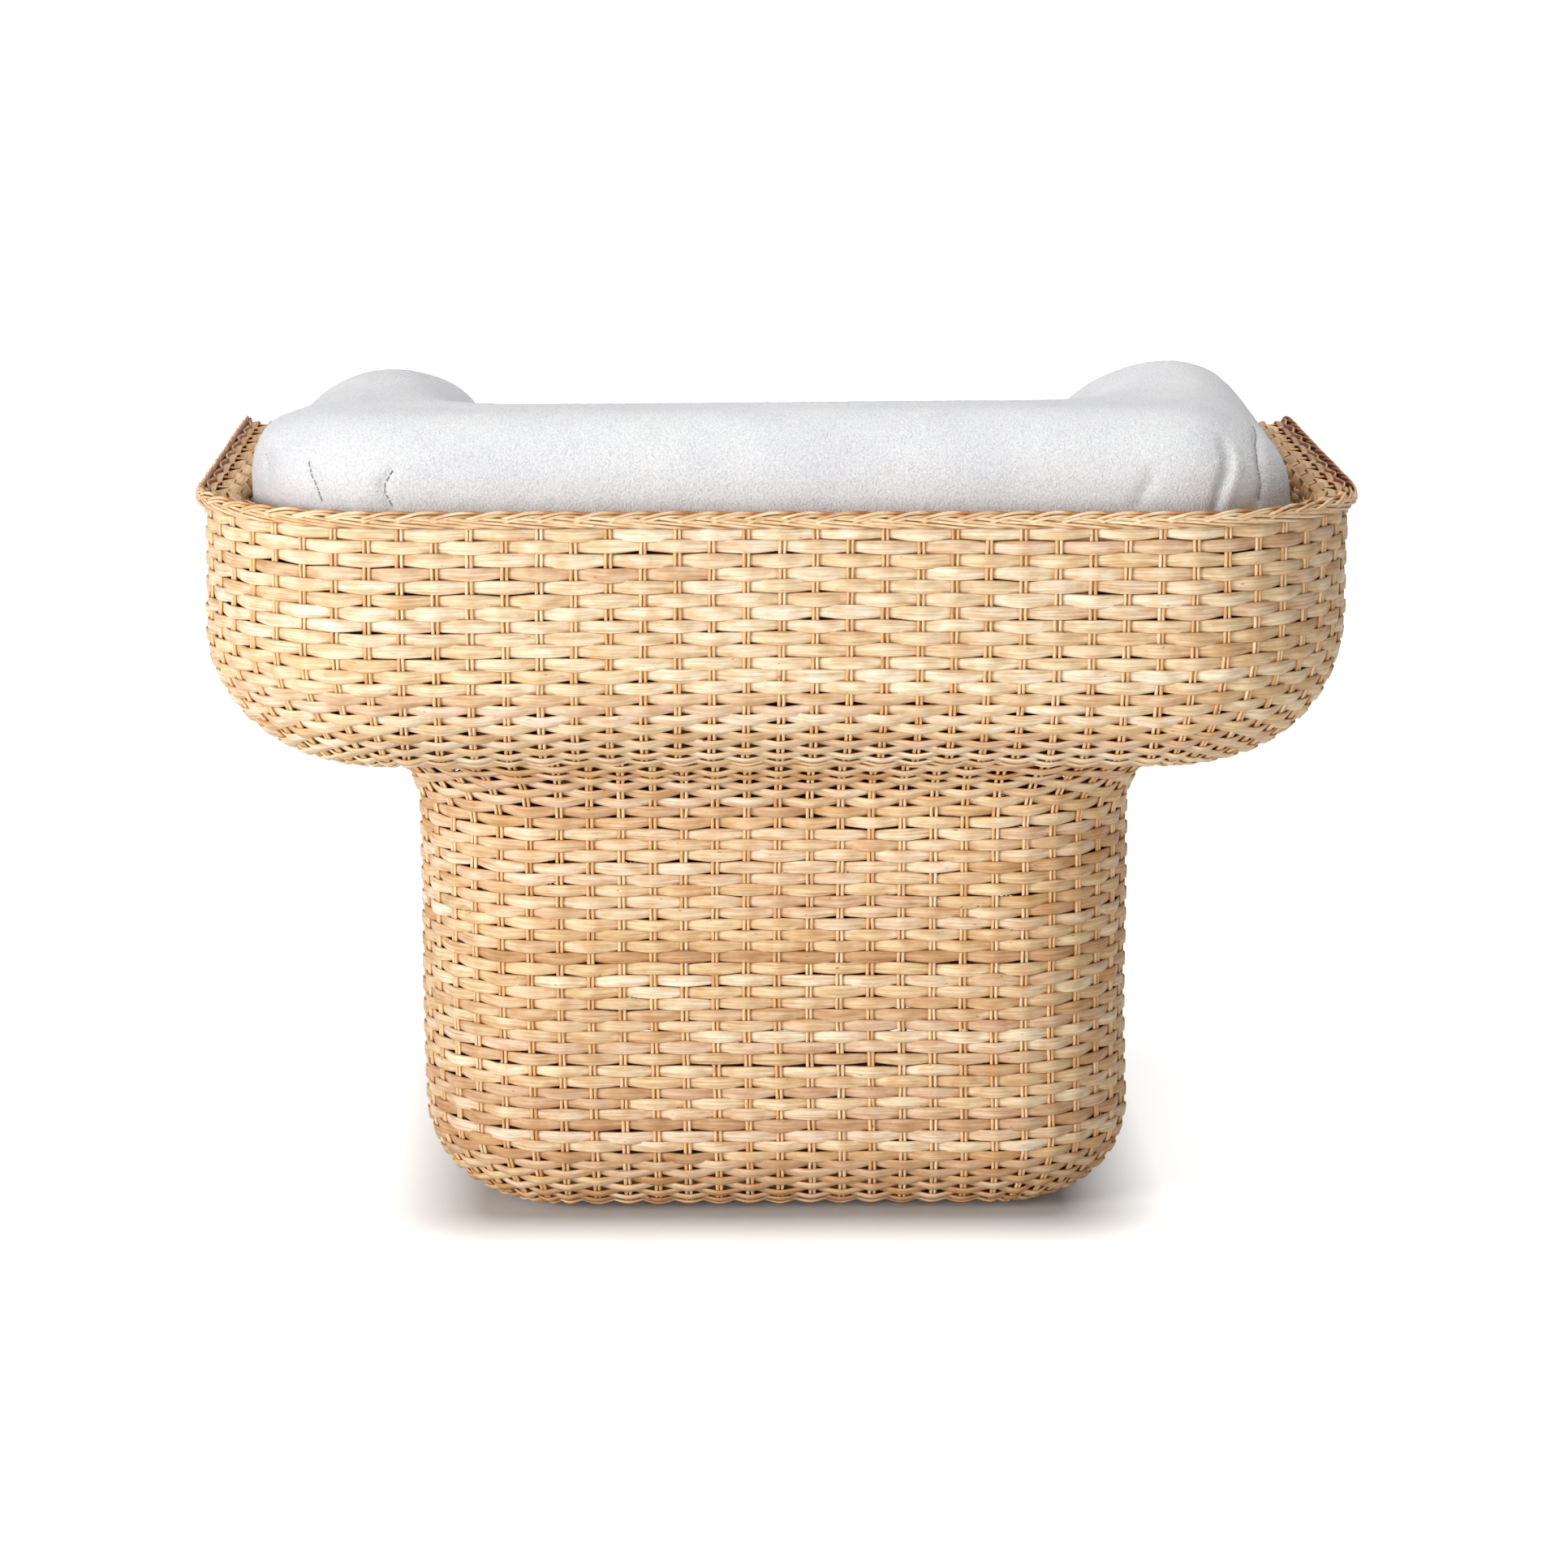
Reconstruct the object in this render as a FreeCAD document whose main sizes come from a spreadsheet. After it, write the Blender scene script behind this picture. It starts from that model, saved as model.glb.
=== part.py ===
import FreeCAD, Part
import Sketcher
import math
import os
from FreeCAD import Placement, Rotation, Vector

# A low woven rattan tub chair: a double-walled basket seat on a narrower woven pedestal, both on one
# frame of bent rattan poles, with a loose seat cushion and a loose U-shaped bolster.
# Millimetres, +Z up. The origin is on the floor under the middle of the chair, and the sitter faces +Y.

# Driving sizes: name in the sheet, value, what it is
SIZES = (
    ("rim_width", 928, "whole width over the rim braid"),
    ("rim_depth", 856, "whole depth over the rim braid"),
    ("rim_height", 612, "middle of the rim braid along the arms and the back"),
    ("lip_height", 501, "middle of the rim braid across the front"),
    ("arm_stop", 290, "from the front of the basket back to where the arms begin to fall"),
    ("shoulder_radius", 75, "bend of the rim where the arms begin to fall"),
    ("lip_depth", 155, "from the front of the basket back to where the low front begins"),
    ("lip_radius", 60, "bend of the rim where it meets the low front"),
    ("braid_size", 16, "width and height of the plaited rim braid"),
    ("braid_proud", 8, "how far the braid stands out of the basket"),
    ("cap_top", 2, "top of the rim cap above the middle of the braid"),
    ("skin", 7, "thickness of a woven skin of the basket"),
    ("back_corner", 160, "plan radius of the basket's back corners"),
    ("front_corner", 140, "plan radius of the basket's front corners"),
    ("basket_round", 130, "rounding from the basket's side to its underside"),
    ("underside", 392, "height of the basket's underside"),
    ("base_width", 585, "pedestal width"),
    ("back_overhang", 137, "basket beyond the pedestal at the back"),
    ("front_overhang", 130, "basket beyond the pedestal at the front"),
    ("base_corner", 120, "plan radius of the pedestal's corners"),
    ("base_round", 78, "rounding at the foot of the pedestal"),
    ("base_skin", 9, "thickness of the pedestal's woven skin"),
    ("weave_lift", 3, "gap between the woven foot and the floor"),
    ("hoop_pole", 20, "diameter of the pedestal's hoops"),
    ("post_pole", 18, "diameter of the pedestal's posts"),
    ("frame_pole", 18, "diameter of the poles between the basket's two skins"),
    ("pole_clearance", 1, "gap between those poles and the skins"),
    ("bow_pole", 12, "diameter of the arm bows"),
    ("play", 0.5, "gap between a pole and the woven skin beside it"),
    ("lower_hoop_height", 95, "middle of the pedestal's lower hoop"),
    ("middle_hoop_height", 235, "middle of the pedestal's middle hoop"),
    ("post_bend", 40, "bend radius at the foot of a post"),
    ("post_reach", 12, "foot of a post past the middle of the floor hoop"),
    ("end_post_margin", 6, "front and back posts from where the pedestal's corners begin"),
    ("side_post_margin", 46, "left and right posts from where the pedestal's corners begin"),
    ("seat_hoop_out", 6, "seat hoop past where the basket begins to round"),
    ("seat_hoop_corner", 45, "bend radius of the seat hoop"),
    ("floor_hoop_corner", 48, "bend radius of the floor hoop"),
    ("slat_margin", 46, "first and last slat from the ends of the pedestal"),
    ("back_rib_margin", 65, "outer back ribs from where the basket's corners begin"),
    ("side_rib_margin", 60, "outer side ribs from the ends of the straight arm"),
    ("front_rib_margin", 110, "outer front ribs from where the basket's corners begin"),
    ("glide_diameter", 20, "floor glide"),
    ("glide_height", 7, "floor glide to the top of its saddle"),
    ("glide_floor", 4, "thickness of the glide under the floor hoop"),
    ("glide_margin", 19, "glides from where the floor hoop's corners begin"),
    ("screw_shank", 4, "screw diameter"),
    ("screw_head", 8, "screw head diameter"),
    ("screw_head_depth", 2, "screw head thickness"),
    ("glide_screw_length", 16, "glide screw under its head"),
    ("post_screw_length", 30, "post screw under its head"),
    ("glide_screw_sink", 1, "glide screw's head above the floor"),
    ("screw_clearance", 0.2, "hole round a screw and its head, on the diameter"),
    ("rest_gap", 0.3, "gap under each loose cushion"),
    ("seat_inset", 9.5, "gap between the seat cushion and the basket wall"),
    ("seat_thickness", 100, "seat cushion"),
    ("seat_under_round", 85, "lower edge of the seat cushion"),
    ("seat_top_round", 14, "upper edge of the seat cushion"),
    ("bolster_width", 190, "bolster across its roll"),
    ("bolster_top", 683, "height of the bolster's top"),
    ("bolster_gap", 4, "gap between the bolster and the basket wall"),
    ("bolster_length", 430, "from the back of the basket to the ends of the bolster"),
    ("bolster_inner_corner", 40, "plan radius inside the bolster's bends"),
    ("bolster_round", 72, "rounding of the bolster's edges"),
    ("cover", 2, "thickness of a cushion cover"),
)
SLATS = 7
BACK_RIBS = 4
SIDE_RIBS = 3
FRONT_RIBS = 3

# Tolerances of this script's own tests
SAME_LEVEL = 1e-6
SWEEP_ERROR = 0.01

# Levels and places worked out from the driving sizes
WALL = "(2 * (Sizes.skin + Sizes.pole_clearance) + Sizes.frame_pole)"
WALL_X = "(Sizes.rim_width / 2 - Sizes.braid_proud)"
WALL_Y = "(Sizes.rim_depth / 2 - Sizes.braid_proud)"
ROUND_CENTRE_Z = "(Sizes.underside + Sizes.basket_round)"
SHOULDER_Y = f"({WALL_Y} - Sizes.arm_stop)"
LIP_Y = f"({WALL_Y} - Sizes.lip_depth)"
BASE_X = "(Sizes.base_width / 2)"
BASE_BACK = f"({WALL_Y} - Sizes.back_overhang)"
BASE_FRONT = f"({WALL_Y} - Sizes.front_overhang)"
BASE_MIDDLE_Y = "((Sizes.back_overhang - Sizes.front_overhang) / 2)"
LINING_FLOOR = f"(Sizes.underside + {WALL})"
GAP_MIDDLE = f"({WALL} / 2)"
FRAME_ROUND = f"(Sizes.basket_round - {GAP_MIDDLE})"
SEAT_POLE_Z = f"(Sizes.underside + {GAP_MIDDLE})"
SLAT_UNDER = f"({SEAT_POLE_Z} - Sizes.frame_pole / 2)"
TOP_HOOP_Z = f"({SLAT_UNDER} - Sizes.hoop_pole / 2)"
FLOOR_HOOP_Z = "(Sizes.glide_floor + Sizes.hoop_pole / 2)"
HOOP_INSET = "(Sizes.base_skin + Sizes.play + Sizes.hoop_pole / 2)"
POST_INSET = f"({HOOP_INSET} + Sizes.hoop_pole / 2 + Sizes.post_pole / 2 + Sizes.play / 2)"
FLOOR_HOOP_INSET = "(Sizes.base_round + Sizes.weave_lift + Sizes.play + Sizes.hoop_pole / 2)"
POST_FOOT_Z = f"({FLOOR_HOOP_Z} + Sizes.hoop_pole / 2 + Sizes.post_pole / 2)"
BASE_HALF_DEPTH = f"(({BASE_BACK} + {BASE_FRONT}) / 2)"
FLOOR_HOOP_STRAIGHT = f"({BASE_HALF_DEPTH} - {FLOOR_HOOP_INSET} - Sizes.floor_hoop_corner)"
GLIDE_Y = f"({FLOOR_HOOP_STRAIGHT} - Sizes.glide_margin)"
RIM_POLE_DROP = "(Sizes.braid_size / 2 + Sizes.pole_clearance + Sizes.frame_pole / 2)"
RIM_POLE_Z = f"(Sizes.rim_height - {RIM_POLE_DROP})"
LIP_POLE_Z = f"(Sizes.lip_height - {RIM_POLE_DROP})"
RIB_TOP_Z = f"({RIM_POLE_Z} - Sizes.frame_pole / 2 - Sizes.play)"
FRONT_RIB_TOP_Z = f"({LIP_POLE_Z} - Sizes.frame_pole / 2 - Sizes.play)"
SEAT_UNDER = f"({LINING_FLOOR} + Sizes.rest_gap)"
SEAT_TOP = f"({SEAT_UNDER} + Sizes.seat_thickness)"
BOLSTER_UNDER = f"({SEAT_TOP} + Sizes.rest_gap)"

doc = FreeCAD.newDocument("WovenTubChair")
sheet = doc.addObject("Spreadsheet::Sheet", "Sizes")
for row, (alias, number, meaning) in enumerate(SIZES, 1):
    sheet.set(f"A{row}", meaning)
    sheet.set(f"B{row}", str(number))
    sheet.setAlias(f"B{row}", alias)
doc.recompute()

parts = []


# Shared helpers


def size(expression):
    """The value of an expression in the driving sizes."""
    found = sheet.evalExpression(expression)
    return float(getattr(found, "Value", found))


def keep(thing, label):
    """Names a finished sub-part and lists it for export."""
    thing.Label = label
    parts.append(thing)
    return thing


def new_body(label):
    return keep(doc.addObject("PartDesign::Body", label), label)


def origin_plane(body, role):
    return next(f for f in body.Origin.OriginFeatures if f.Role == role)


def new_sketch(body, name, role, shift=None):
    """A sketch on one of the body's origin planes, moved along the plane's normal."""
    drawn = body.newObject("Sketcher::SketchObject", name)
    drawn.AttachmentSupport = (origin_plane(body, role), [""])
    drawn.MapMode = "FlatFace"
    if shift:
        drawn.AttachmentOffset = Placement(Vector(0, 0, size(shift)), Rotation())
        drawn.setExpression(".AttachmentOffset.Base.z", shift)
    return drawn


def bound(drawn, kind, name, expression, *where):
    """A named dimension of a sketch that follows an expression."""
    index = drawn.addConstraint(Sketcher.Constraint(kind, *where, size(expression)))
    drawn.renameConstraint(index, name)
    drawn.setExpression("Constraints." + name, expression)


def place_x(drawn, name, expression, geo, end, left=False):
    ends = (geo, end, -1, 1) if left else (-1, 1, geo, end)
    bound(drawn, "DistanceX", name, expression, *ends)


def place_y(drawn, name, expression, geo, end, below=False):
    ends = (geo, end, -1, 1) if below else (-1, 1, geo, end)
    bound(drawn, "DistanceY", name, expression, *ends)


def line(drawn, x0, y0, x1, y1):
    return drawn.addGeometry(Part.LineSegment(Vector(x0, y0, 0), Vector(x1, y1, 0)))


def arc(drawn, x, y, radius, start, end):
    circle = Part.Circle(Vector(x, y, 0), Vector(0, 0, 1), radius)
    return drawn.addGeometry(Part.ArcOfCircle(circle, math.radians(start), math.radians(end)))


def joined(drawn, first, first_end, second, second_end, kind="Tangent"):
    drawn.addConstraint(Sketcher.Constraint(kind, first, first_end, second, second_end))


def level(drawn, *lines):
    for geo in lines:
        drawn.addConstraint(Sketcher.Constraint("Horizontal", geo))


def upright(drawn, *lines):
    for geo in lines:
        drawn.addConstraint(Sketcher.Constraint("Vertical", geo))


def rounded_rectangle(drawn, tag, side, front, back, front_corner, back_corner):
    """A closed outline round the origin, with its own radius at the front and at the back."""
    x, f, b = size(side), size(front), -size(back)
    rf, rb = size(front_corner), size(back_corner)
    right = line(drawn, x, b + rb, x, f - rf)
    front_right = arc(drawn, x - rf, f - rf, rf, 0, 90)
    front_line = line(drawn, x - rf, f, rf - x, f)
    front_left = arc(drawn, rf - x, f - rf, rf, 90, 180)
    left = line(drawn, -x, f - rf, -x, b + rb)
    back_left = arc(drawn, rb - x, b + rb, rb, 180, 270)
    back_line = line(drawn, rb - x, b, x - rb, b)
    back_right = arc(drawn, x - rb, b + rb, rb, 270, 360)
    around = (right, front_right, front_line, front_left, left, back_left, back_line, back_right)
    for here, there in zip(around, around[1:] + around[:1]):
        joined(drawn, here, 2, there, 1)
    upright(drawn, right, left)
    level(drawn, front_line, back_line)
    drawn.addConstraint(Sketcher.Constraint("Equal", front_right, front_left))
    drawn.addConstraint(Sketcher.Constraint("Equal", back_right, back_left))
    bound(drawn, "Radius", tag + "_front_corner", front_corner, front_right)
    bound(drawn, "Radius", tag + "_back_corner", back_corner, back_right)
    place_x(drawn, tag + "_right", side, right, 1)
    place_x(drawn, tag + "_left", side, left, 1, left=True)
    place_y(drawn, tag + "_front", front, front_line, 1)
    place_y(drawn, tag + "_back", back, back_line, 1, below=True)


def basket_outline(drawn, tag, inset):
    """The basket's plan outline, moved in from the wall's outer face by inset."""
    rounded_rectangle(
        drawn,
        tag,
        f"{WALL_X} - ({inset})",
        f"{WALL_Y} - ({inset})",
        f"{WALL_Y} - ({inset})",
        f"Sizes.front_corner - ({inset})",
        f"Sizes.back_corner - ({inset})",
    )


def base_outline(drawn, tag, inset, corner=None):
    """The pedestal's plan outline, moved in from its outer face by inset."""
    corner = corner or f"Sizes.base_corner - ({inset})"
    front, back = f"{BASE_FRONT} - ({inset})", f"{BASE_BACK} - ({inset})"
    rounded_rectangle(drawn, tag, f"{BASE_X} - ({inset})", front, back, corner, corner)


def pad(body, drawn, name, length):
    made = body.newObject("PartDesign::Pad", name)
    made.Profile = drawn
    made.Length = size(length)
    made.setExpression("Length", length)
    doc.recompute()
    return made


def cut_all(body, drawn, name, both_ways=True, reverse=False):
    """A cut through everything, which has to take something away."""
    before = body.Shape.Volume
    made = body.newObject("PartDesign::Pocket", name)
    made.Profile = drawn
    made.Type = "ThroughAll"
    made.Midplane = both_ways
    made.Reversed = reverse
    doc.recompute()
    if not made.Shape.Volume < before:
        raise RuntimeError(f"{body.Label}: {name} cuts nothing")
    return made


def edges_at(shape, height):
    """The names of the edges that lie at one height."""
    return [
        f"Edge{i}"
        for i, edge in enumerate(shape.Edges, 1)
        if all(abs(corner.Z - height) < SAME_LEVEL for corner in edge.Vertexes)
    ]


def face_at(shape, height):
    flat = [i for i, f in enumerate(shape.Faces, 1) if abs(f.CenterOfMass.z - height) < SAME_LEVEL]
    return [f"Face{i}" for i in flat]


def round_edges(body, before, name, height, radius):
    made = body.newObject("PartDesign::Fillet", name)
    made.Base = (before, edges_at(before.Shape, size(height)))
    made.Radius = size(radius)
    made.setExpression("Radius", radius)
    doc.recompute()
    return made


def hollow(body, before, name, open_height, wall):
    """Leaves a wall inside the solid's faces and opens it at one height."""
    made = body.newObject("PartDesign::Thickness", name)
    made.Base = (before, face_at(before.Shape, size(open_height)))
    made.Value = size(wall)
    made.setExpression("Value", wall)
    made.Reversed = True
    made.Mode = 0
    made.Join = 0
    doc.recompute()
    return made


def sweep(body, path, section, name="pole"):
    """A round pole along a path, checked against its section times its length."""
    made = body.newObject("PartDesign::AdditivePipe", name)
    made.Profile = section
    made.Spine = (path, [""])
    doc.recompute()
    length = sum(edge.Length for edge in path.Shape.Edges)
    radius = section.Shape.Edges[0].Curve.Radius
    expected = math.pi * radius**2 * length
    if abs(made.Shape.Volume - expected) > SWEEP_ERROR * expected:
        raise RuntimeError(f"{body.Label}: the pole's volume is wrong")
    return made


def circle_at(drawn, x, y, diameter, left=False, below=False):
    """One circle of a sketch, placed from the origin."""
    cx = -size(x) if left else size(x)
    cy = -size(y) if below else size(y)
    made = drawn.addGeometry(Part.Circle(Vector(cx, cy, 0), Vector(0, 0, 1), size(diameter) / 2))
    bound(drawn, "Diameter", "across", diameter, made)
    place_x(drawn, "out", x, made, 3, left)
    place_y(drawn, "up", y, made, 3, below)


# The rim's side view, which is high along the arms and falls to the low front


def rim_cut_outline(drawn, offset, above):
    """Closes the rim's side view, moved outwards by offset, with a box above it or below it."""
    reach = 2 * size(WALL_Y)
    shoulder_y, lip_y = size(SHOULDER_Y), size(LIP_Y)
    high, low = f"Sizes.shoulder_radius + ({offset})", f"Sizes.lip_radius - ({offset})"
    r1, r2 = size(high), size(low)
    z1 = size("Sizes.rim_height - Sizes.shoulder_radius")
    z2 = size("Sizes.lip_height + Sizes.lip_radius")
    turn = math.asin((r1 + r2) / math.hypot(lip_y - shoulder_y, z2 - z1))
    turn -= math.atan2(z2 - z1, lip_y - shoulder_y)
    steep = math.degrees(turn)
    x1, y1 = shoulder_y + r1 * math.sin(turn), z1 + r1 * math.cos(turn)
    x2, y2 = lip_y - r2 * math.sin(turn), z2 - r2 * math.cos(turn)
    end = 2 * size("Sizes.rim_height") if above else 0
    top = line(drawn, -reach, z1 + r1, shoulder_y, z1 + r1)
    shoulder = arc(drawn, shoulder_y, z1, r1, 90 - steep, 90)
    fall = line(drawn, x1, y1, x2, y2)
    hollow_bend = arc(drawn, lip_y, z2, r2, 270 - steep, 270)
    lip = line(drawn, lip_y, z2 - r2, reach, z2 - r2)
    front = line(drawn, reach, z2 - r2, reach, end)
    far = line(drawn, reach, end, -reach, end)
    back = line(drawn, -reach, end, -reach, z1 + r1)
    joined(drawn, top, 2, shoulder, 2)
    joined(drawn, shoulder, 1, fall, 1)
    joined(drawn, fall, 2, hollow_bend, 1)
    joined(drawn, hollow_bend, 2, lip, 1)
    joined(drawn, lip, 2, front, 1, "Coincident")
    joined(drawn, front, 2, far, 1, "Coincident")
    joined(drawn, far, 2, back, 1, "Coincident")
    joined(drawn, back, 2, top, 1, "Coincident")
    level(drawn, top, lip, far)
    upright(drawn, front, back)
    bound(drawn, "Radius", "shoulder", high, shoulder)
    bound(drawn, "Radius", "hollow", low, hollow_bend)
    place_x(drawn, "shoulder_y", SHOULDER_Y, shoulder, 3)
    place_y(drawn, "shoulder_z", "Sizes.rim_height - Sizes.shoulder_radius", shoulder, 3)
    place_x(drawn, "lip_y", LIP_Y, hollow_bend, 3)
    place_y(drawn, "lip_z", "Sizes.lip_height + Sizes.lip_radius", hollow_bend, 3)
    place_x(drawn, "front_y", f"2 * {WALL_Y}", front, 1)
    place_x(drawn, "back_y", f"2 * {WALL_Y}", back, 1, left=True)
    if above:
        place_y(drawn, "far_z", "2 * Sizes.rim_height", far, 1)
    else:
        drawn.addConstraint(Sketcher.Constraint("PointOnObject", far, 1, -1))


def cut_at_rim(body, offset, above=True):
    drawn = new_sketch(body, "rim_view_above" if above else "rim_view_below", "YZ_Plane")
    rim_cut_outline(drawn, offset, above)
    doc.recompute()
    return cut_all(body, drawn, "above_rim" if above else "below_rim")


BRAID_UNDER = "(-Sizes.braid_size / 2)"
BRAID_TOP = "(Sizes.braid_size / 2)"
SKIN_PAD_TOP = "(Sizes.rim_height + Sizes.shoulder_radius)"


# Woven skins of the basket


def basket_weave():
    """The outer skin: straight sides that round under to a flat ring about the pedestal."""
    body = new_body("basket_weave")
    plan = new_sketch(body, "plan", "XY_Plane", "Sizes.underside")
    basket_outline(plan, "wall", "0")
    block = pad(body, plan, "block", f"{SKIN_PAD_TOP} - Sizes.underside")
    rounded = round_edges(body, block, "under_round", "Sizes.underside", "Sizes.basket_round")
    hollow(body, rounded, "wall", SKIN_PAD_TOP, "Sizes.skin")
    mouth = new_sketch(body, "pedestal_opening", "XY_Plane", "Sizes.underside + Sizes.skin")
    base_outline(mouth, "opening", "Sizes.base_skin")
    doc.recompute()
    cut_all(body, mouth, "opening", both_ways=False)
    cut_at_rim(body, BRAID_UNDER)


def basket_lining():
    """The inner skin, which is also the floor that the seat cushion lies on."""
    body = new_body("basket_lining")
    floor = f"({LINING_FLOOR} - Sizes.skin)"
    inset = f"({WALL} - Sizes.skin)"
    plan = new_sketch(body, "plan", "XY_Plane", floor)
    basket_outline(plan, "wall", inset)
    block = pad(body, plan, "block", f"{SKIN_PAD_TOP} - {floor}")
    rounded = round_edges(body, block, "under_round", floor, f"Sizes.basket_round - {inset}")
    hollow(body, rounded, "wall", SKIN_PAD_TOP, "Sizes.skin")
    cut_at_rim(body, BRAID_UNDER)


def rim_ring(label, outer, inner, top):
    """A ring that follows the rim all the way round, from the braid's underside up."""
    body = new_body(label)
    plan = new_sketch(body, "plan", "XY_Plane", "Sizes.underside")
    basket_outline(plan, "outer", outer)
    basket_outline(plan, "inner", inner)
    pad(body, plan, "band", f"{SKIN_PAD_TOP} - Sizes.underside")
    cut_at_rim(body, top)
    cut_at_rim(body, BRAID_UNDER, above=False)


def rim_braid():
    rim_ring("rim_braid", "-Sizes.braid_proud", "Sizes.braid_size - Sizes.braid_proud", BRAID_TOP)


def rim_cap():
    """The woven top of the wall, between the braid and the lining."""
    rim_ring("rim_cap", "Sizes.braid_size - Sizes.braid_proud", WALL, "Sizes.cap_top")


def base_weave():
    """The pedestal's skin, rounded in at the foot and open below."""
    body = new_body("base_weave")
    plan = new_sketch(body, "plan", "XY_Plane", "Sizes.weave_lift")
    base_outline(plan, "wall", "0")
    block = pad(body, plan, "block", "Sizes.underside - Sizes.weave_lift")
    rounded = round_edges(body, block, "foot_round", "Sizes.weave_lift", "Sizes.base_round")
    hollow(body, rounded, "wall", "Sizes.underside", "Sizes.base_skin")
    mouth = new_sketch(body, "foot_opening", "XY_Plane", "Sizes.weave_lift + Sizes.base_skin")
    base_outline(mouth, "opening", "Sizes.base_round + Sizes.weave_lift")
    doc.recompute()
    cut_all(body, mouth, "opening", both_ways=False)


# Bent and straight poles of the frame


def closed_hoop(label, height, diameter, outline, inset, side):
    """A pole bent into a closed loop: outline draws its path and side is its reach along X."""
    body = new_body(label)
    path = new_sketch(body, "path", "XY_Plane", height)
    outline(path, "loop", inset)
    section = new_sketch(body, "section", "XZ_Plane")
    circle_at(section, side, height, diameter)
    doc.recompute()
    sweep(body, path, section)


def base_hoops():
    for label, height in (
        ("base_lower_hoop", "Sizes.lower_hoop_height"),
        ("base_middle_hoop", "Sizes.middle_hoop_height"),
        ("base_top_hoop", TOP_HOOP_Z),
    ):
        reach = f"{BASE_X} - {HOOP_INSET}"
        closed_hoop(label, height, "Sizes.hoop_pole", base_outline, HOOP_INSET, reach)


def floor_hoop():
    def outline(drawn, tag, inset):
        base_outline(drawn, tag, inset, "Sizes.floor_hoop_corner")

    reach = f"{BASE_X} - {FLOOR_HOOP_INSET}"
    closed_hoop("base_floor_hoop", FLOOR_HOOP_Z, "Sizes.hoop_pole", outline, FLOOR_HOOP_INSET, reach)


SEAT_HOOP_INSET = "(Sizes.basket_round - Sizes.seat_hoop_out)"


def seat_hoop():
    """The loop that ties the slats' ends and the ribs' feet together."""
    corner = "Sizes.seat_hoop_corner"

    def outline(drawn, tag, inset):
        side, end = f"{WALL_X} - {inset}", f"{WALL_Y} - {inset}"
        rounded_rectangle(drawn, tag, side, end, end, corner, corner)

    reach = f"{WALL_X} - {SEAT_HOOP_INSET}"
    closed_hoop("seat_hoop", SEAT_POLE_Z, "Sizes.frame_pole", outline, SEAT_HOOP_INSET, reach)


def u_hoop(label, height, diameter, side, tip, back, corner, turned=False):
    """A pole bent into a U: two legs that end at y = tip and a straight back with two bends."""
    body = new_body(label)
    x, y, b, r = size(side), size(tip), -size(back), size(corner)
    path = new_sketch(body, "path", "XY_Plane", height)
    right = line(path, x, y, x, b + r)
    right_bend = arc(path, x - r, b + r, r, 270, 360)
    middle = line(path, x - r, b, r - x, b)
    left_bend = arc(path, r - x, b + r, r, 180, 270)
    left = line(path, -x, b + r, -x, y)
    joined(path, right, 2, right_bend, 2)
    joined(path, right_bend, 1, middle, 1)
    joined(path, middle, 2, left_bend, 2)
    joined(path, left_bend, 1, left, 1)
    upright(path, right, left)
    level(path, middle)
    path.addConstraint(Sketcher.Constraint("Equal", right_bend, left_bend))
    bound(path, "Radius", "corner", corner, right_bend)
    place_x(path, "right", side, right, 1)
    place_x(path, "left", side, left, 1, left=True)
    place_y(path, "back", back, middle, 1, below=True)
    below = y < 0
    tip_size = f"-({tip})" if below else tip
    place_y(path, "right_tip", tip_size, right, 1, below)
    place_y(path, "left_tip", tip_size, left, 2, below)
    section = new_sketch(body, "section", "XZ_Plane", f"-({tip})")
    circle_at(section, side, height, diameter)
    if turned:
        body.Placement = Placement(Vector(0, 0, 0), Rotation(Vector(0, 0, 1), 180))
    doc.recompute()
    sweep(body, path, section)


def rim_hoop():
    side = f"{WALL_X} - {GAP_MIDDLE}"
    back = f"{WALL_Y} - {GAP_MIDDLE}"
    corner = f"Sizes.back_corner - {GAP_MIDDLE}"
    u_hoop("rim_hoop", RIM_POLE_Z, "Sizes.frame_pole", side, SHOULDER_Y, back, corner)


LIP_POLE_INSET = (
    f"(Sizes.basket_round - sqrt({FRAME_ROUND}^2 - ({ROUND_CENTRE_Z} - {LIP_POLE_Z})^2))"
)


def front_rail():
    """The pole under the low front, turned about so that its back is the chair's front."""
    side, front = f"{WALL_X} - {LIP_POLE_INSET}", f"{WALL_Y} - {LIP_POLE_INSET}"
    corner = f"Sizes.front_corner - {LIP_POLE_INSET}"
    tip = f"-({LIP_Y})"
    u_hoop("front_rail", LIP_POLE_Z, "Sizes.frame_pole", side, tip, front, corner, turned=True)


BOW_X = f"({WALL_X} - {WALL} + Sizes.skin + Sizes.play + Sizes.bow_pole / 2)"


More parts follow.
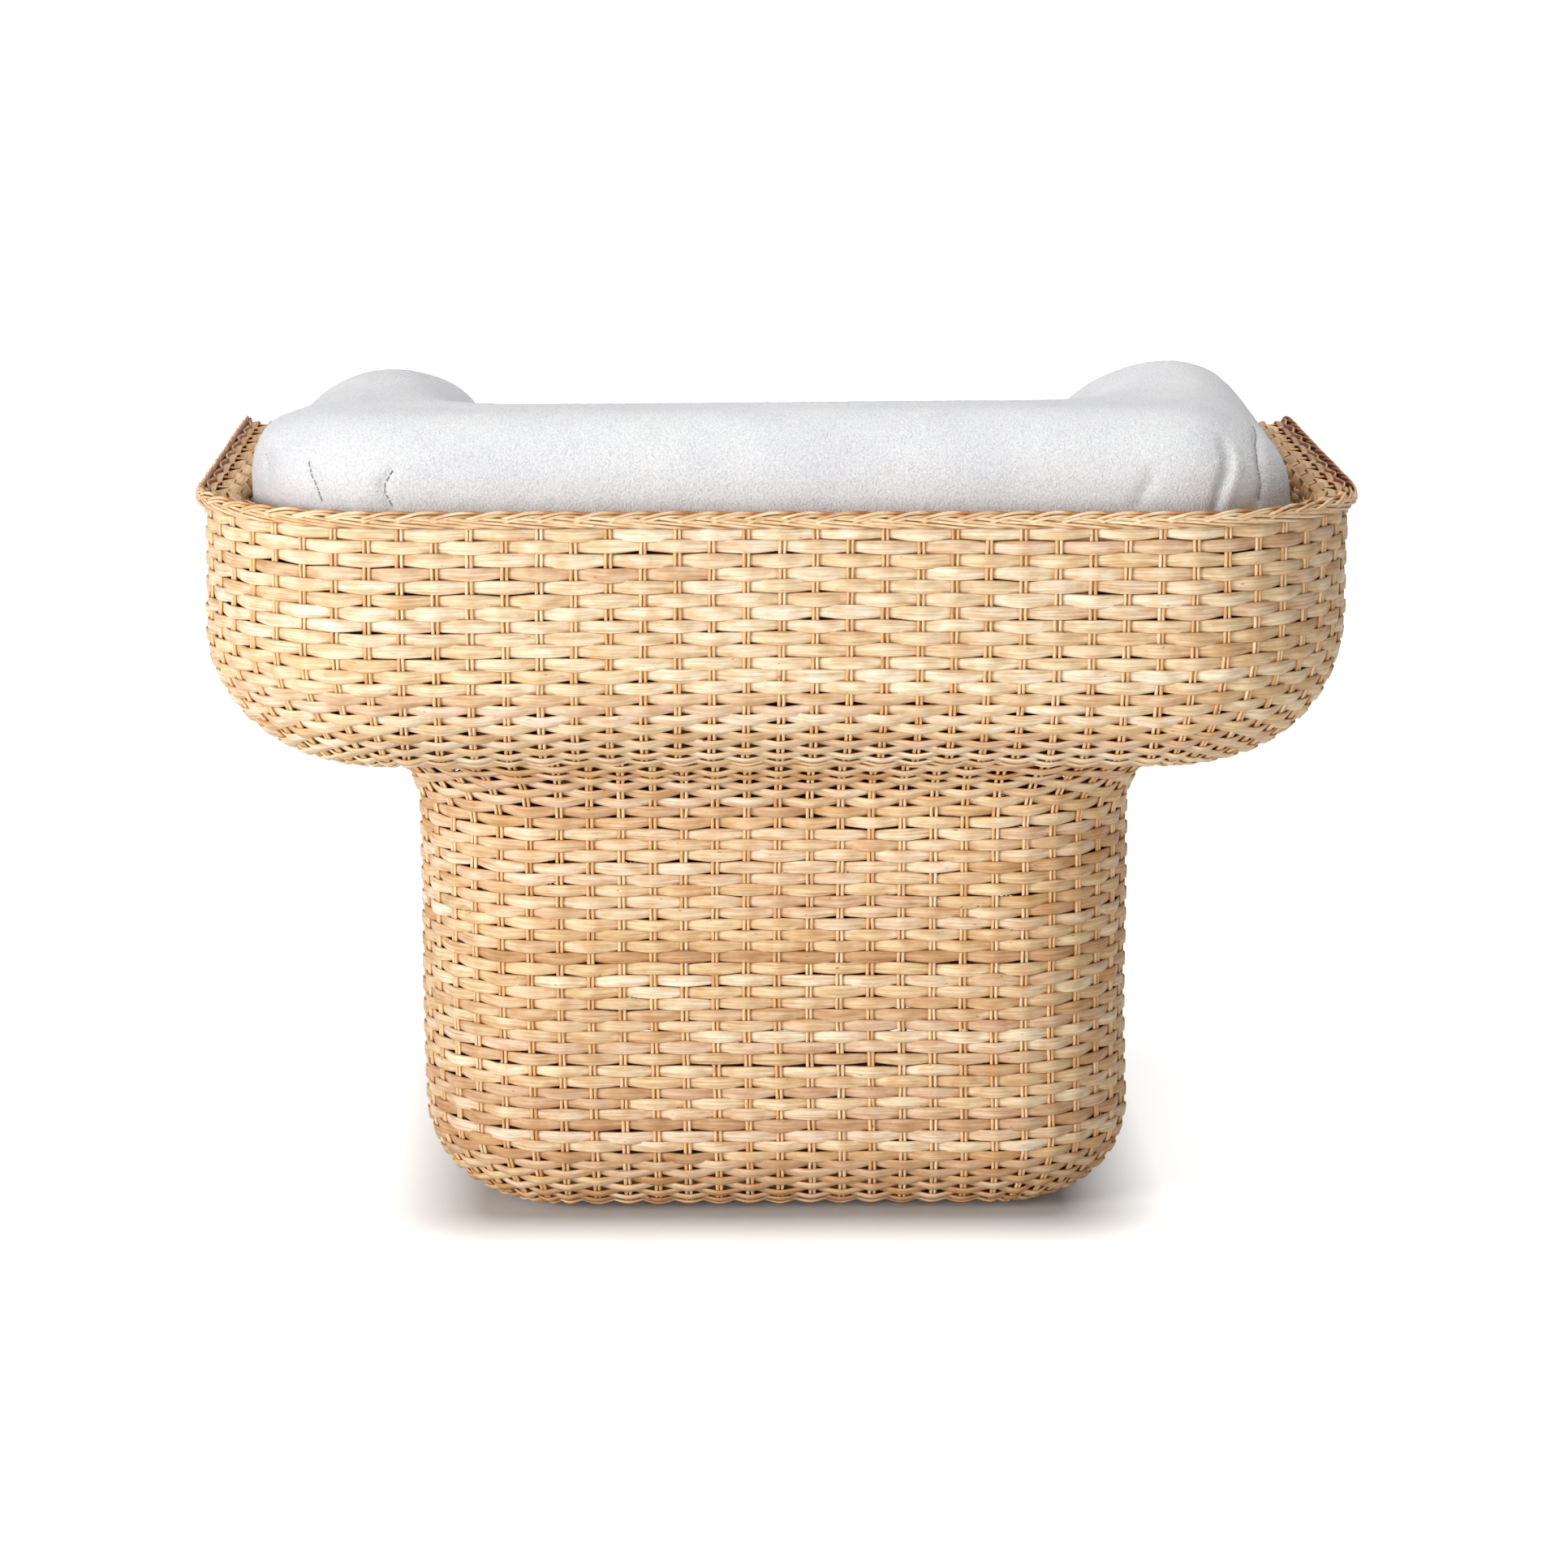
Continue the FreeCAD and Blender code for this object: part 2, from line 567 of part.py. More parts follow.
def arm_bow(side_name, sign):
    """The bent pole that carries the rim from the arm down to the front rail."""
    body = new_body(f"arm_bow_{side_name}")
    r1, r2 = f"Sizes.shoulder_radius - {RIM_POLE_DROP}", f"Sizes.lip_radius + {RIM_POLE_DROP}"
    z1, z2 = "Sizes.rim_height - Sizes.shoulder_radius", "Sizes.lip_height + Sizes.lip_radius"
    ya, yb, za, zb = size(SHOULDER_Y), size(LIP_Y), size(z1), size(z2)
    ra, rb = size(r1), size(r2)
    turn = math.asin((ra + rb) / math.hypot(yb - ya, zb - za)) - math.atan2(zb - za, yb - ya)
    steep = math.degrees(turn)
    path = new_sketch(body, "path", "YZ_Plane")
    shoulder = arc(path, ya, za, ra, 90 - steep, 90)
    x1, y1 = ya + ra * math.sin(turn), za + ra * math.cos(turn)
    fall = line(path, x1, y1, yb - rb * math.sin(turn), zb - rb * math.cos(turn))
    foot = arc(path, yb, zb, rb, 270 - steep, 270)
    joined(path, shoulder, 1, fall, 1)
    joined(path, fall, 2, foot, 1)
    path.addConstraint(Sketcher.Constraint("Vertical", shoulder, 2, shoulder, 3))
    path.addConstraint(Sketcher.Constraint("Vertical", foot, 2, foot, 3))
    bound(path, "Radius", "shoulder", r1, shoulder)
    bound(path, "Radius", "foot", r2, foot)
    place_x(path, "shoulder_y", SHOULDER_Y, shoulder, 3)
    place_y(path, "shoulder_z", z1, shoulder, 3)
    place_x(path, "foot_y", LIP_Y, foot, 3)
    place_y(path, "foot_z", z2, foot, 3)
    section = new_sketch(body, "section", "XZ_Plane", f"-({SHOULDER_Y})")
    circle_at(section, "0", RIM_POLE_Z, "Sizes.bow_pole")
    body.setExpression(".Placement.Base.x", f"{sign} * {BOW_X}")
    doc.recompute()
    sweep(body, path, section)


def turned_body(label, angle, axis, shift):
    """A body drawn in a plane that reaches out along X, then turned to its side of the chair."""
    body = new_body(label)
    body.Placement = Placement(Vector(0, 0, 0), Rotation(Vector(0, 0, 1), angle))
    body.setExpression(f".Placement.Base.{axis}", shift)
    return body


def base_post(label, angle, axis, shift, reach, foot):
    """An upright pole whose foot bends in over the floor hoop."""
    body = turned_body(label, angle, axis, shift)
    u, r, z = size(reach), size("Sizes.post_bend"), size(POST_FOOT_Z)
    top = f"{SLAT_UNDER} - Sizes.play"
    path = new_sketch(body, "path", "XZ_Plane")
    upper = line(path, u, size(top), u, z + r)
    bend = arc(path, u - r, z + r, r, 270, 360)
    lower = line(path, u - r, z, size(foot), z)
    joined(path, upper, 2, bend, 2)
    joined(path, bend, 1, lower, 1)
    upright(path, upper)
    level(path, lower)
    bound(path, "Radius", "bend", "Sizes.post_bend", bend)
    place_x(path, "reach", reach, upper, 1)
    place_y(path, "top", top, upper, 1)
    place_y(path, "foot_level", POST_FOOT_Z, lower, 1)
    place_x(path, "foot", foot, lower, 2)
    section = new_sketch(body, "section", "XY_Plane", top)
    circle_at(section, reach, "0", "Sizes.post_pole")
    doc.recompute()
    sweep(body, path, section)


SIDES = (
    ("right", 0, BASE_X, "y"),
    ("front", 90, BASE_FRONT, "x"),
    ("left", 180, BASE_X, "y"),
    ("back", 270, BASE_BACK, "x"),
)


def post_places():
    """Name, turn, shift along its side, and reach of each post."""
    for side, angle, reach, axis in SIDES:
        for number, sign in enumerate((-1, 1), 1):
            if axis == "y":
                along = f"({BASE_HALF_DEPTH} - Sizes.base_corner - Sizes.side_post_margin)"
                shift = f"{BASE_MIDDLE_Y} + {sign} * {along}"
            else:
                shift = f"{sign} * ({BASE_X} - Sizes.base_corner - Sizes.end_post_margin)"
            yield f"base_post_{side}_{number}", angle, axis, shift, reach


def base_posts():
    for label, angle, axis, shift, reach in post_places():
        post_at = f"({reach} - {POST_INSET})"
        foot = f"({reach} - {FLOOR_HOOP_INSET} - Sizes.post_reach)"
        base_post(label, angle, axis, shift, post_at, foot)


def rib(label, angle, axis, shift, reach, trimmed_at=None):
    """A pole from the seat hoop, round under the basket's side and up to the rim."""
    body = turned_body(label, angle, axis, shift)
    u, r, zc = size(reach), size(FRAME_ROUND), size(ROUND_CENTRE_Z)
    beside_hoop = "Sizes.frame_pole / 2 + Sizes.play / 2"
    foot = f"{reach} - {FRAME_ROUND} + Sizes.seat_hoop_out + {beside_hoop}"
    out = size(foot) - (u - r)
    path = new_sketch(body, "path", "XZ_Plane")
    upper = line(path, u, size(RIB_TOP_Z), u, zc)
    start = 270 + math.degrees(math.asin(out / r))
    bend = arc(path, u - r, zc, r, start, 360)
    joined(path, upper, 2, bend, 2)
    upright(path, upper)
    bound(path, "Radius", "bend", FRAME_ROUND, bend)
    place_x(path, "reach", reach, upper, 1)
    place_y(path, "top", RIB_TOP_Z, upper, 1)
    place_y(path, "bend_level", ROUND_CENTRE_Z, bend, 3)
    place_x(path, "foot", foot, bend, 1)
    section = new_sketch(body, "section", "XY_Plane", RIB_TOP_Z)
    circle_at(section, reach, "0", "Sizes.frame_pole")
    doc.recompute()
    sweep(body, path, section)
    if trimmed_at:
        trim = new_sketch(body, "trim", "XY_Plane", trimmed_at)
        circle_at(trim, reach, "0", f"2 * {FRAME_ROUND}")
        doc.recompute()
        cut_all(body, trim, "trimmed", both_ways=False, reverse=True)


def spread(count, half, middle="0"):
    """Evenly spaced places from middle - half to middle + half, as expressions."""
    return [f"{middle} + ({2 * i - count + 1} / {count - 1}) * {half}" for i in range(count)]


def ribs():
    side_reach = f"({WALL_X} - {GAP_MIDDLE})"
    end_reach = f"({WALL_Y} - {GAP_MIDDLE})"
    back_half = f"({WALL_X} - Sizes.back_corner - Sizes.back_rib_margin)"
    front_half = f"({WALL_X} - Sizes.front_corner - Sizes.front_rib_margin)"
    for number, shift in enumerate(spread(BACK_RIBS, back_half), 1):
        rib(f"back_rib_{number}", 270, "x", shift, end_reach)
    for number, shift in enumerate(spread(FRONT_RIBS, front_half), 1):
        rib(f"front_rib_{number}", 90, "x", shift, end_reach, trimmed_at=FRONT_RIB_TOP_Z)
    middle = f"({SHOULDER_Y} + Sizes.back_corner - {WALL_Y}) / 2"
    side_half = f"(({SHOULDER_Y} - Sizes.back_corner + {WALL_Y}) / 2 - Sizes.side_rib_margin)"
    for number, shift in enumerate(spread(SIDE_RIBS, side_half, middle), 1):
        rib(f"right_rib_{number}", 0, "y", shift, side_reach)
        rib(f"left_rib_{number}", 180, "y", shift, side_reach)


def seat_slats():
    """Straight poles across the pedestal, from one side of the seat hoop to the other."""
    half = f"({WALL_X} - {SEAT_HOOP_INSET} - Sizes.frame_pole / 2 - Sizes.play / 2)"
    reach = f"({BASE_HALF_DEPTH} - Sizes.slat_margin)"
    for number, shift in enumerate(spread(SLATS, reach, BASE_MIDDLE_Y), 1):
        slat = keep(doc.addObject("Part::Cylinder", f"seat_slat_{number}"), f"seat_slat_{number}")
        slat.Placement = Placement(Vector(0, 0, 0), Rotation(Vector(0, 1, 0), 90))
        slat.setExpression("Radius", "Sizes.frame_pole / 2")
        slat.setExpression("Height", f"2 * {half}")
        slat.setExpression(".Placement.Base.x", f"-{half}")
        slat.setExpression(".Placement.Base.y", shift)
        slat.setExpression(".Placement.Base.z", SEAT_POLE_Z)


# Floor glides and screws

GLIDE_PLACES = (
    ("front_right", 1, 1),
    ("front_left", -1, 1),
    ("back_left", -1, -1),
    ("back_right", 1, -1),
)
GLIDE_X = f"({BASE_X} - {FLOOR_HOOP_INSET})"


def glide(name, sx, sy):
    """A round glide with a saddle for the floor hoop and a sunk screw hole."""
    body = new_body(f"glide_{name}")
    plan = new_sketch(body, "plan", "XY_Plane")
    circle_at(plan, "0", "0", "Sizes.glide_diameter")
    pad(body, plan, "disc", "Sizes.glide_height")
    saddle = new_sketch(body, "saddle", "XZ_Plane")
    circle_at(saddle, "0", FLOOR_HOOP_Z, "Sizes.hoop_pole")
    doc.recompute()
    cut_all(body, saddle, "saddle_cut")
    bore = new_sketch(body, "bore", "XY_Plane", "Sizes.glide_height")
    circle_at(bore, "0", "0", "Sizes.screw_shank + Sizes.screw_clearance")
    doc.recompute()
    cut_all(body, bore, "bore_cut", both_ways=False)
    sink = new_sketch(body, "sink", "XY_Plane", "Sizes.glide_screw_sink + Sizes.screw_head_depth")
    circle_at(sink, "0", "0", "Sizes.screw_head + Sizes.screw_clearance")
    doc.recompute()
    cut_all(body, sink, "sink_cut", both_ways=False)
    body.setExpression(".Placement.Base.x", f"{sx} * {GLIDE_X}")
    body.setExpression(".Placement.Base.y", f"{BASE_MIDDLE_Y} + {sy} * {GLIDE_Y}")


def screw(name, length, turn, places):
    """A shank and a head, fused, with the head's outer face at the given place."""
    shank = doc.addObject("Part::Cylinder", name + "_shank")
    shank.setExpression("Radius", "Sizes.screw_shank / 2")
    shank.setExpression("Height", f"{length} + Sizes.screw_head_depth")
    head = doc.addObject("Part::Cylinder", name + "_head")
    head.setExpression("Radius", "Sizes.screw_head / 2")
    head.setExpression("Height", "Sizes.screw_head_depth")
    made = doc.addObject("Part::Fuse", name)
    made.Base = shank
    made.Tool = head
    made.Placement = Placement(Vector(0, 0, 0), turn)
    for axis, expression in places.items():
        made.setExpression(f".Placement.Base.{axis}", expression)
    return made


def screw_group(label, screws):
    group = keep(doc.addObject("Part::Compound", label), label)
    group.Links = screws


def glide_screws():
    made = []
    for name, sx, sy in GLIDE_PLACES:
        places = {
            "x": f"{sx} * {GLIDE_X}",
            "y": f"{BASE_MIDDLE_Y} + {sy} * {GLIDE_Y}",
            "z": "Sizes.glide_screw_sink",
        }
        made.append(screw(f"glide_screw_{name}", "Sizes.glide_screw_length", Rotation(), places))
    screw_group("glide_screws", made)


def post_screws():
    """Each post is screwed from inside to the three hoops beside it."""
    made = []
    heights = ("Sizes.lower_hoop_height", "Sizes.middle_hoop_height", TOP_HOOP_Z)
    for label, angle, axis, shift, reach in post_places():
        head = f"({reach} - {POST_INSET} - Sizes.post_pole / 2 - Sizes.screw_head_depth / 2)"
        sign = 1 if angle in (0, 90) else -1
        turn = Rotation(Vector(0, 0, 1), angle) * Rotation(Vector(0, 1, 0), 90)
        other = "x" if axis == "y" else "y"
        for number, height in enumerate(heights, 1):
            places = {axis: shift, other: f"{sign} * {head}", "z": height}
            name = f"{label}_screw_{number}"
            made.append(screw(name, "Sizes.post_screw_length", turn, places))
    screw_group("post_screws", made)


# Loose cushions: each cover is the outer solid less the filling inside it


def seat_solid(body, inset):
    """The seat cushion's outline, rounded most underneath, where it lies in the basket."""
    low = f"{SEAT_UNDER} + ({inset})"
    high = f"{SEAT_TOP} - ({inset})"
    plan = new_sketch(body, "plan", "XY_Plane", low)
    basket_outline(plan, "edge", f"{WALL} + Sizes.seat_inset + ({inset})")
    block = pad(body, plan, "block", f"{high} - ({low})")
    under = round_edges(body, block, "under_round", low, f"Sizes.seat_under_round - ({inset})")
    round_edges(body, under, "top_round", high, f"Sizes.seat_top_round - ({inset})")


def bolster_plan(drawn, inset):
    """A U with round ends: the outer line follows the basket, the inner line has tight bends."""
    outer = f"{WALL_X} - {WALL} - Sizes.bolster_gap - ({inset})"
    inner = f"{outer} - Sizes.bolster_width + 2 * ({inset})"
    back = f"{WALL_Y} - {WALL} - Sizes.bolster_gap - ({inset})"
    inner_back = f"{back} - Sizes.bolster_width + 2 * ({inset})"
    corner = f"Sizes.back_corner - {WALL} - Sizes.bolster_gap - ({inset})"
    inner_corner = f"Sizes.bolster_inner_corner + ({inset})"
    end = f"{WALL_Y} - Sizes.bolster_length + Sizes.bolster_width / 2"
    xo, xi, yo, yi = size(outer), size(inner), -size(back), -size(inner_back)
    ro, ri, ye, re = size(corner), size(inner_corner), -size(end), (size(outer) - size(inner)) / 2
    right = line(drawn, xo, yo + ro, xo, ye)
    right_end = arc(drawn, xo - re, ye, re, 0, 180)
    right_in = line(drawn, xi, ye, xi, yi + ri)
    right_bend = arc(drawn, xi - ri, yi + ri, ri, 270, 360)
    middle_in = line(drawn, xi - ri, yi, ri - xi, yi)
    left_bend = arc(drawn, ri - xi, yi + ri, ri, 180, 270)
    left_in = line(drawn, -xi, yi + ri, -xi, ye)
    left_end = arc(drawn, re - xo, ye, re, 0, 180)
    left = line(drawn, -xo, ye, -xo, yo + ro)
    left_corner = arc(drawn, ro - xo, yo + ro, ro, 180, 270)
    middle = line(drawn, ro - xo, yo, xo - ro, yo)
    right_corner = arc(drawn, xo - ro, yo + ro, ro, 270, 360)
    joined(drawn, right, 2, right_end, 1)
    joined(drawn, right_end, 2, right_in, 1)
    joined(drawn, right_in, 2, right_bend, 2)
    joined(drawn, right_bend, 1, middle_in, 1)
    joined(drawn, middle_in, 2, left_bend, 2)
    joined(drawn, left_bend, 1, left_in, 1)
    joined(drawn, left_in, 2, left_end, 1)
    joined(drawn, left_end, 2, left, 1)
    joined(drawn, left, 2, left_corner, 1)
    joined(drawn, left_corner, 2, middle, 1)
    joined(drawn, middle, 2, right_corner, 1)
    joined(drawn, right_corner, 2, right, 1)
    upright(drawn, right, right_in, left_in, left)
    level(drawn, middle_in, middle)
    drawn.addConstraint(Sketcher.Constraint("Equal", right_bend, left_bend))
    drawn.addConstraint(Sketcher.Constraint("Equal", right_corner, left_corner))
    bound(drawn, "Radius", "corner", corner, right_corner)
    bound(drawn, "Radius", "inner_corner", inner_corner, right_bend)
    place_x(drawn, "right", outer, right, 1)
    place_x(drawn, "left", outer, left, 1, left=True)
    place_x(drawn, "right_inner", inner, right_in, 1)
    place_x(drawn, "left_inner", inner, left_in, 1, left=True)
    place_y(drawn, "back", back, middle, 1, below=True)
    place_y(drawn, "inner_back", inner_back, middle_in, 1, below=True)
    below = ye < 0
    end_size = end if below else f"-({end})"
    place_y(drawn, "right_tip", end_size, right_end, 3, below)
    place_y(drawn, "left_tip", end_size, left_end, 3, below)


def bolster_solid(body, inset):
    low = f"{BOLSTER_UNDER} + ({inset})"
    high = f"Sizes.bolster_top - ({inset})"
    plan = new_sketch(body, "plan", "XY_Plane", low)
    bolster_plan(plan, inset)
    block = pad(body, plan, "block", f"{high} - ({low})")
    radius = f"Sizes.bolster_round - ({inset})"
    under = round_edges(body, block, "under_round", low, radius)
    round_edges(body, under, "top_round", high, radius)


def cushion(name, filling_name, solid):
    """A filling, and a cover cut from the whole cushion by that filling."""
    whole = doc.addObject("PartDesign::Body", name + "_whole")
    solid(whole, "0")
    filling = new_body(filling_name)
    solid(filling, "Sizes.cover")
    cover = doc.addObject("Part::Cut", name + "_cover")
    cover.Base = whole
    cover.Tool = filling
    keep(cover, name + "_cover")


def build():
    basket_weave()
    basket_lining()
    rim_cap()
    rim_braid()
    base_weave()
    base_hoops()
    floor_hoop()
    seat_hoop()
    rim_hoop()
    front_rail()
    arm_bow("right", 1)
    arm_bow("left", -1)
    base_posts()
    ribs()
    seat_slats()
    for name, sx, sy in GLIDE_PLACES:
        glide(name, sx, sy)
    glide_screws()
    post_screws()
    cushion("seat_cushion", "seat_cushion_foam", seat_solid)
    cushion("bolster", "bolster_filling", bolster_solid)
    doc.recompute()


def check():
    """Stops before anything is written if any object failed or any sub-part is unsound."""
    for thing in doc.Objects:
        failed = [word for word in thing.State if word in ("Invalid", "Error")]
        if failed:
            raise RuntimeError(f"{thing.Label}: {failed}")
    for thing in parts:
        if thing.Shape.isNull() or not thing.Shape.isValid() or thing.Shape.Volume <= 0:
            raise RuntimeError(f"{thing.Label}: its shape is not a sound solid")


build()
check()
os.makedirs("parts", exist_ok=True)
for thing in parts:
    thing.Shape.exportStep(f"parts/{thing.Label}.step")
    print(f"{thing.Label}: {len(thing.Shape.Solids)} solids, {thing.Shape.Volume / 1000:.1f} cm3")
print(f"{len(parts)} nodes")
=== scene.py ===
# Woven rattan tub chair with boucle cushions: the looks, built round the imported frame.
# Lengths in the tables are in millimetres, and the meshes are made in metres.
import math

import bpy
import numpy as np
from mathutils import Matrix, Vector
from mathutils.bvhtree import BVHTree


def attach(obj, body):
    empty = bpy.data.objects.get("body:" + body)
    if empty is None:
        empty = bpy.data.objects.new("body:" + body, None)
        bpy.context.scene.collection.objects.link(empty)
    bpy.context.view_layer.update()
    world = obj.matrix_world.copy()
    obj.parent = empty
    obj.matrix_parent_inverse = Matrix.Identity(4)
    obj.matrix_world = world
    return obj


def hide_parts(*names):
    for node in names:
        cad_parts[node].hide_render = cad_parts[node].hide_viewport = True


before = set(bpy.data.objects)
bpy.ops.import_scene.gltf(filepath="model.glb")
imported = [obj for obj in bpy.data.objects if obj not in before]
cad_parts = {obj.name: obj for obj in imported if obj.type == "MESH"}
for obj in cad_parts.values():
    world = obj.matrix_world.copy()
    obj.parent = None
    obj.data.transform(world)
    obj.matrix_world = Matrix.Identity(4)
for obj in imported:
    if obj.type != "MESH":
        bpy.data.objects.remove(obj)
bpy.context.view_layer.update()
MM = 0.001

# The rim's line seen from the side: high, an S down at the front of the arms, then low
RIM_HIGH = 612
RIM_LOW = 501
SHOULDER = (130, 537, 75)
FOOT_OF_S = (265, 561, 60)
UNDERSIDE = 394
BASKET_ROUND = 125
BASKET_FULLNESS = 0.92
FLOOR_TOP = 426
LINING_INSET = 34
LINING_ROUND = 96
STAKE_RADIUS = 1.5
STAKE_APART = 3.5
STAKE_DEPTH = 3.15
SIDES_OF_STRAND = 8
SIDES_OF_CANE = 6
BASKET_PITCH = 10.2
BASE_PITCH = 9.35
# How far round a strand is on its map for baking
GIRTH_OF_STRAND = 22
GIRTH_OF_CANE = 10


def srgb(*levels):
    """A colour written as 0 to 255 levels, as the linear numbers that a shader takes."""
    return tuple(((v / 255 + 0.055) / 1.055) ** 2.4 if v > 10 else v / 3294.6 for v in levels) + (1,)


def rising(value, low, high):
    """0 below low, 1 above high, and smooth between them."""
    t = np.clip((value - low) / (high - low), 0, 1)
    return t * t * (3 - 2 * t)


def unit(v):
    return v / np.maximum(np.linalg.norm(v, axis=-1, keepdims=True), 1e-12)


def looked_up(place, along, table):
    """The rows of a table at these places, where along says the place of each row."""
    return np.stack([np.interp(place, along, column) for column in table.T], -1)


def fill(data, key, values, kind=np.float32):
    data.foreach_set(key, values.astype(kind).ravel())


def lengths_along(points):
    """How far each point lies from the first one, along the points."""
    return np.concatenate([[0], np.cumsum(np.linalg.norm(np.diff(points, axis=0), axis=1))])


# Curves that the weave follows
def run(a, b, normal):
    t = np.linspace(0, 1, 200)[:, None]
    return np.array(a) * (1 - t) + np.array(b) * t, np.tile(np.array(normal, float), (200, 1))


def turn(centre, radius, start):
    """A quarter turn in plan, clockwise from this angle, with its outward normals."""
    angle = np.radians(np.linspace(start, start - 90, 120))
    normal = np.stack([np.cos(angle), np.sin(angle)], 1)
    return np.array(centre) + radius * normal, normal


class Outline:
    """A rounded rectangle in plan, from the middle of its front towards +x, with its outward normals."""

    def __init__(self, half, back, front, back_corner, front_corner):
        front_turn = (half - front_corner, front - front_corner)
        back_turn = (half - back_corner, back + back_corner)
        parts = [
            run((0, front), (front_turn[0], front), (0, 1)),
            turn(front_turn, front_corner, 90),
            run((half, front_turn[1]), (half, back_turn[1]), (1, 0)),
            turn(back_turn, back_corner, 0),
            run((back_turn[0], back), (0, back), (0, -1)),
        ]
        points, normals = (np.concatenate(part) for part in zip(*parts))
        mirror = np.array([-1, 1])
        points = np.concatenate([points, points[::-1] * mirror])
        normals = np.concatenate([normals, normals[::-1] * mirror])
        steps = np.linalg.norm(np.diff(points, axis=0), axis=1)
        new = np.concatenate([[True], steps > 1e-6])
        self.points, self.normals = points[new], normals[new]
        self.along = np.concatenate([[0], np.cumsum(steps[steps > 1e-6])])
        self.length = self.along[-1]

    def at(self, distance):
        """Points and normals at these distances along it, going round again past its end."""
        d = np.mod(distance, self.length)
        return looked_up(d, self.along, self.points), unit(looked_up(d, self.along, self.normals))


class Profile:
    """A section through a wall, as points (inset, height), and the side that its weave shows on."""

    def __init__(self, points, side):
        self.points = np.array(points, float)
        self.along = lengths_along(self.points)
        self.length = self.along[-1]
        tangent = unit(np.gradient(self.points, axis=0) * np.array([-1, 1]))
        self.normals = side * np.stack([-tangent[:, 1], tangent[:, 0]], 1)

    def at(self, s):
        """The inset and height at these distances down it, and the way that it faces: out and up."""
        return *looked_up(s, self.along, self.points).T, *looked_up(s, self.along, self.normals).T


class Wall:
    """A surface of an outline and a profile. A place on it is a stake number and a distance down."""

    def __init__(self, node, outline, profile, stakes, uneven=None):
        self.node, self.outline, self.profile, self.stakes = node, outline, profile, stakes
        self.uneven = uneven
        self.top = profile.points[0, 1]
        self.pitch = outline.length / stakes

    def at(self, u, s):
        plan, normal = self.outline.at(u * self.pitch)
        inset, height, out, up = self.profile.at(s)
        flat = plan - normal * inset[:, None]
        point = np.concatenate([flat, height[:, None]], 1)
        facing = np.concatenate([normal * out[:, None], up[:, None]], 1)
        if self.uneven:
            point = self.uneven(point, normal)
        return point, unit(facing)


def bend(centre, radius, start, end, count=40, fullness=1.0):
    """Points of an arc in a section, as (inset, height), where an angle of 0 looks outwards."""
    angle = np.radians(np.linspace(start, end, count))
    c, s = np.cos(angle), np.sin(angle)
    c, s = np.sign(c) * np.abs(c) ** fullness, np.sign(s) * np.abs(s) ** fullness
    return list(zip(centre[0] - radius * c, centre[1] + radius * s))


def basket_uneven(point, normal):
    """The basket as it was woven by hand: a fuller left side, and slow waves in its wall."""
    x, y, z = point.T
    full = 3.4 * np.exp(-(((z - 468) / 48) ** 2)) * np.clip((-x - 280) / 120, 0, 1)
    below = np.clip((600 - z) / 60, 0, 1)
    slow = 0.9 * np.sin(x / 71 + z / 63) * np.cos(y / 83 - z / 97)
    waves = slow + 0.5 * np.sin(x / 37 - z / 29 + y / 45)
    moved = point.copy()
    moved[:, :2] += normal * (full + below * waves)[:, None]
    moved[:, 2] += 0.6 * below * np.sin(x / 90 + y / 70 + 1)
    return moved


def base_uneven(point, normal):
    """The pedestal leans a little to the right at its foot."""
    x, y, z = point.T
    waves = 0.9 * np.sin(x / 67 + z / 59) * np.cos(y / 73 - z / 88)
    moved = point.copy()
    moved[:, :2] += normal * (waves + 1.2 * np.clip(z / 60, 0, 1))[:, None]
    moved[:, 0] += 4.0 * np.clip((190 - z) / 170, 0, 1)
    moved[:, 2] = np.maximum(moved[:, 2], 2.9)
    return moved


def rim_height(y):
    """The rim's height over a place on the side of the basket."""
    y1, z1, r1 = SHOULDER
    y2, z2, r2 = FOOT_OF_S
    across, rise = y2 - y1, z2 - z1
    lean = math.atan2(rise, across) - math.asin((r1 + r2) / math.hypot(across, rise))
    leave = y1 - r1 * math.sin(lean)
    meet = y2 + r2 * math.sin(lean)
    high = z1 + np.sqrt(np.maximum(r1**2 - (y - y1) ** 2, 0))
    low = z2 - np.sqrt(np.maximum(r2**2 - (y2 - y) ** 2, 0))
    start = z1 + r1 * math.cos(lean)
    line = start + (y - leave) * math.tan(lean)
    found = np.where(y < leave, high, np.where(y > meet, low, line))
    return np.where(y <= y1, RIM_HIGH, np.where(y >= y2, RIM_LOW, found))


class Rim:
    """The rim's centre line in space, with the frame across it: outwards, and up from the line."""

    def __init__(self, outline):
        plan, normal = outline.at(np.arange(0, outline.length, 0.4))
        self.points = np.concatenate([plan, rim_height(plan[:, 1])[:, None]], 1)
        self.along = lengths_along(self.points)
        self.length = self.along[-1]
        tangent = unit(np.gradient(self.points, axis=0))
        self.out = np.concatenate([normal, np.zeros((len(normal), 1))], 1)
        self.up = unit(np.cross(tangent, self.out))

    def at(self, distance, out, up):
        """Points this far out and up from the line at these distances, and the frame there."""
        d = np.mod(distance, self.length)
        point = looked_up(d, self.along, self.points)
        outward = unit(looked_up(d, self.along, self.out))
        upward = unit(looked_up(d, self.along, self.up))
        path = point + outward * np.asarray(out)[..., None] + upward * np.asarray(up)[..., None]
        return path, outward, upward


# Strands, gathered into pieces
# The faces that close an end, by the sides of the strand
END_FACES = {
    SIDES_OF_CANE: [[0, 1, 2, 3], [0, 3, 4, 5]],
    SIDES_OF_STRAND: [[0, 1, 2, 3], [0, 3, 4, 7], [4, 5, 6, 7]],
}


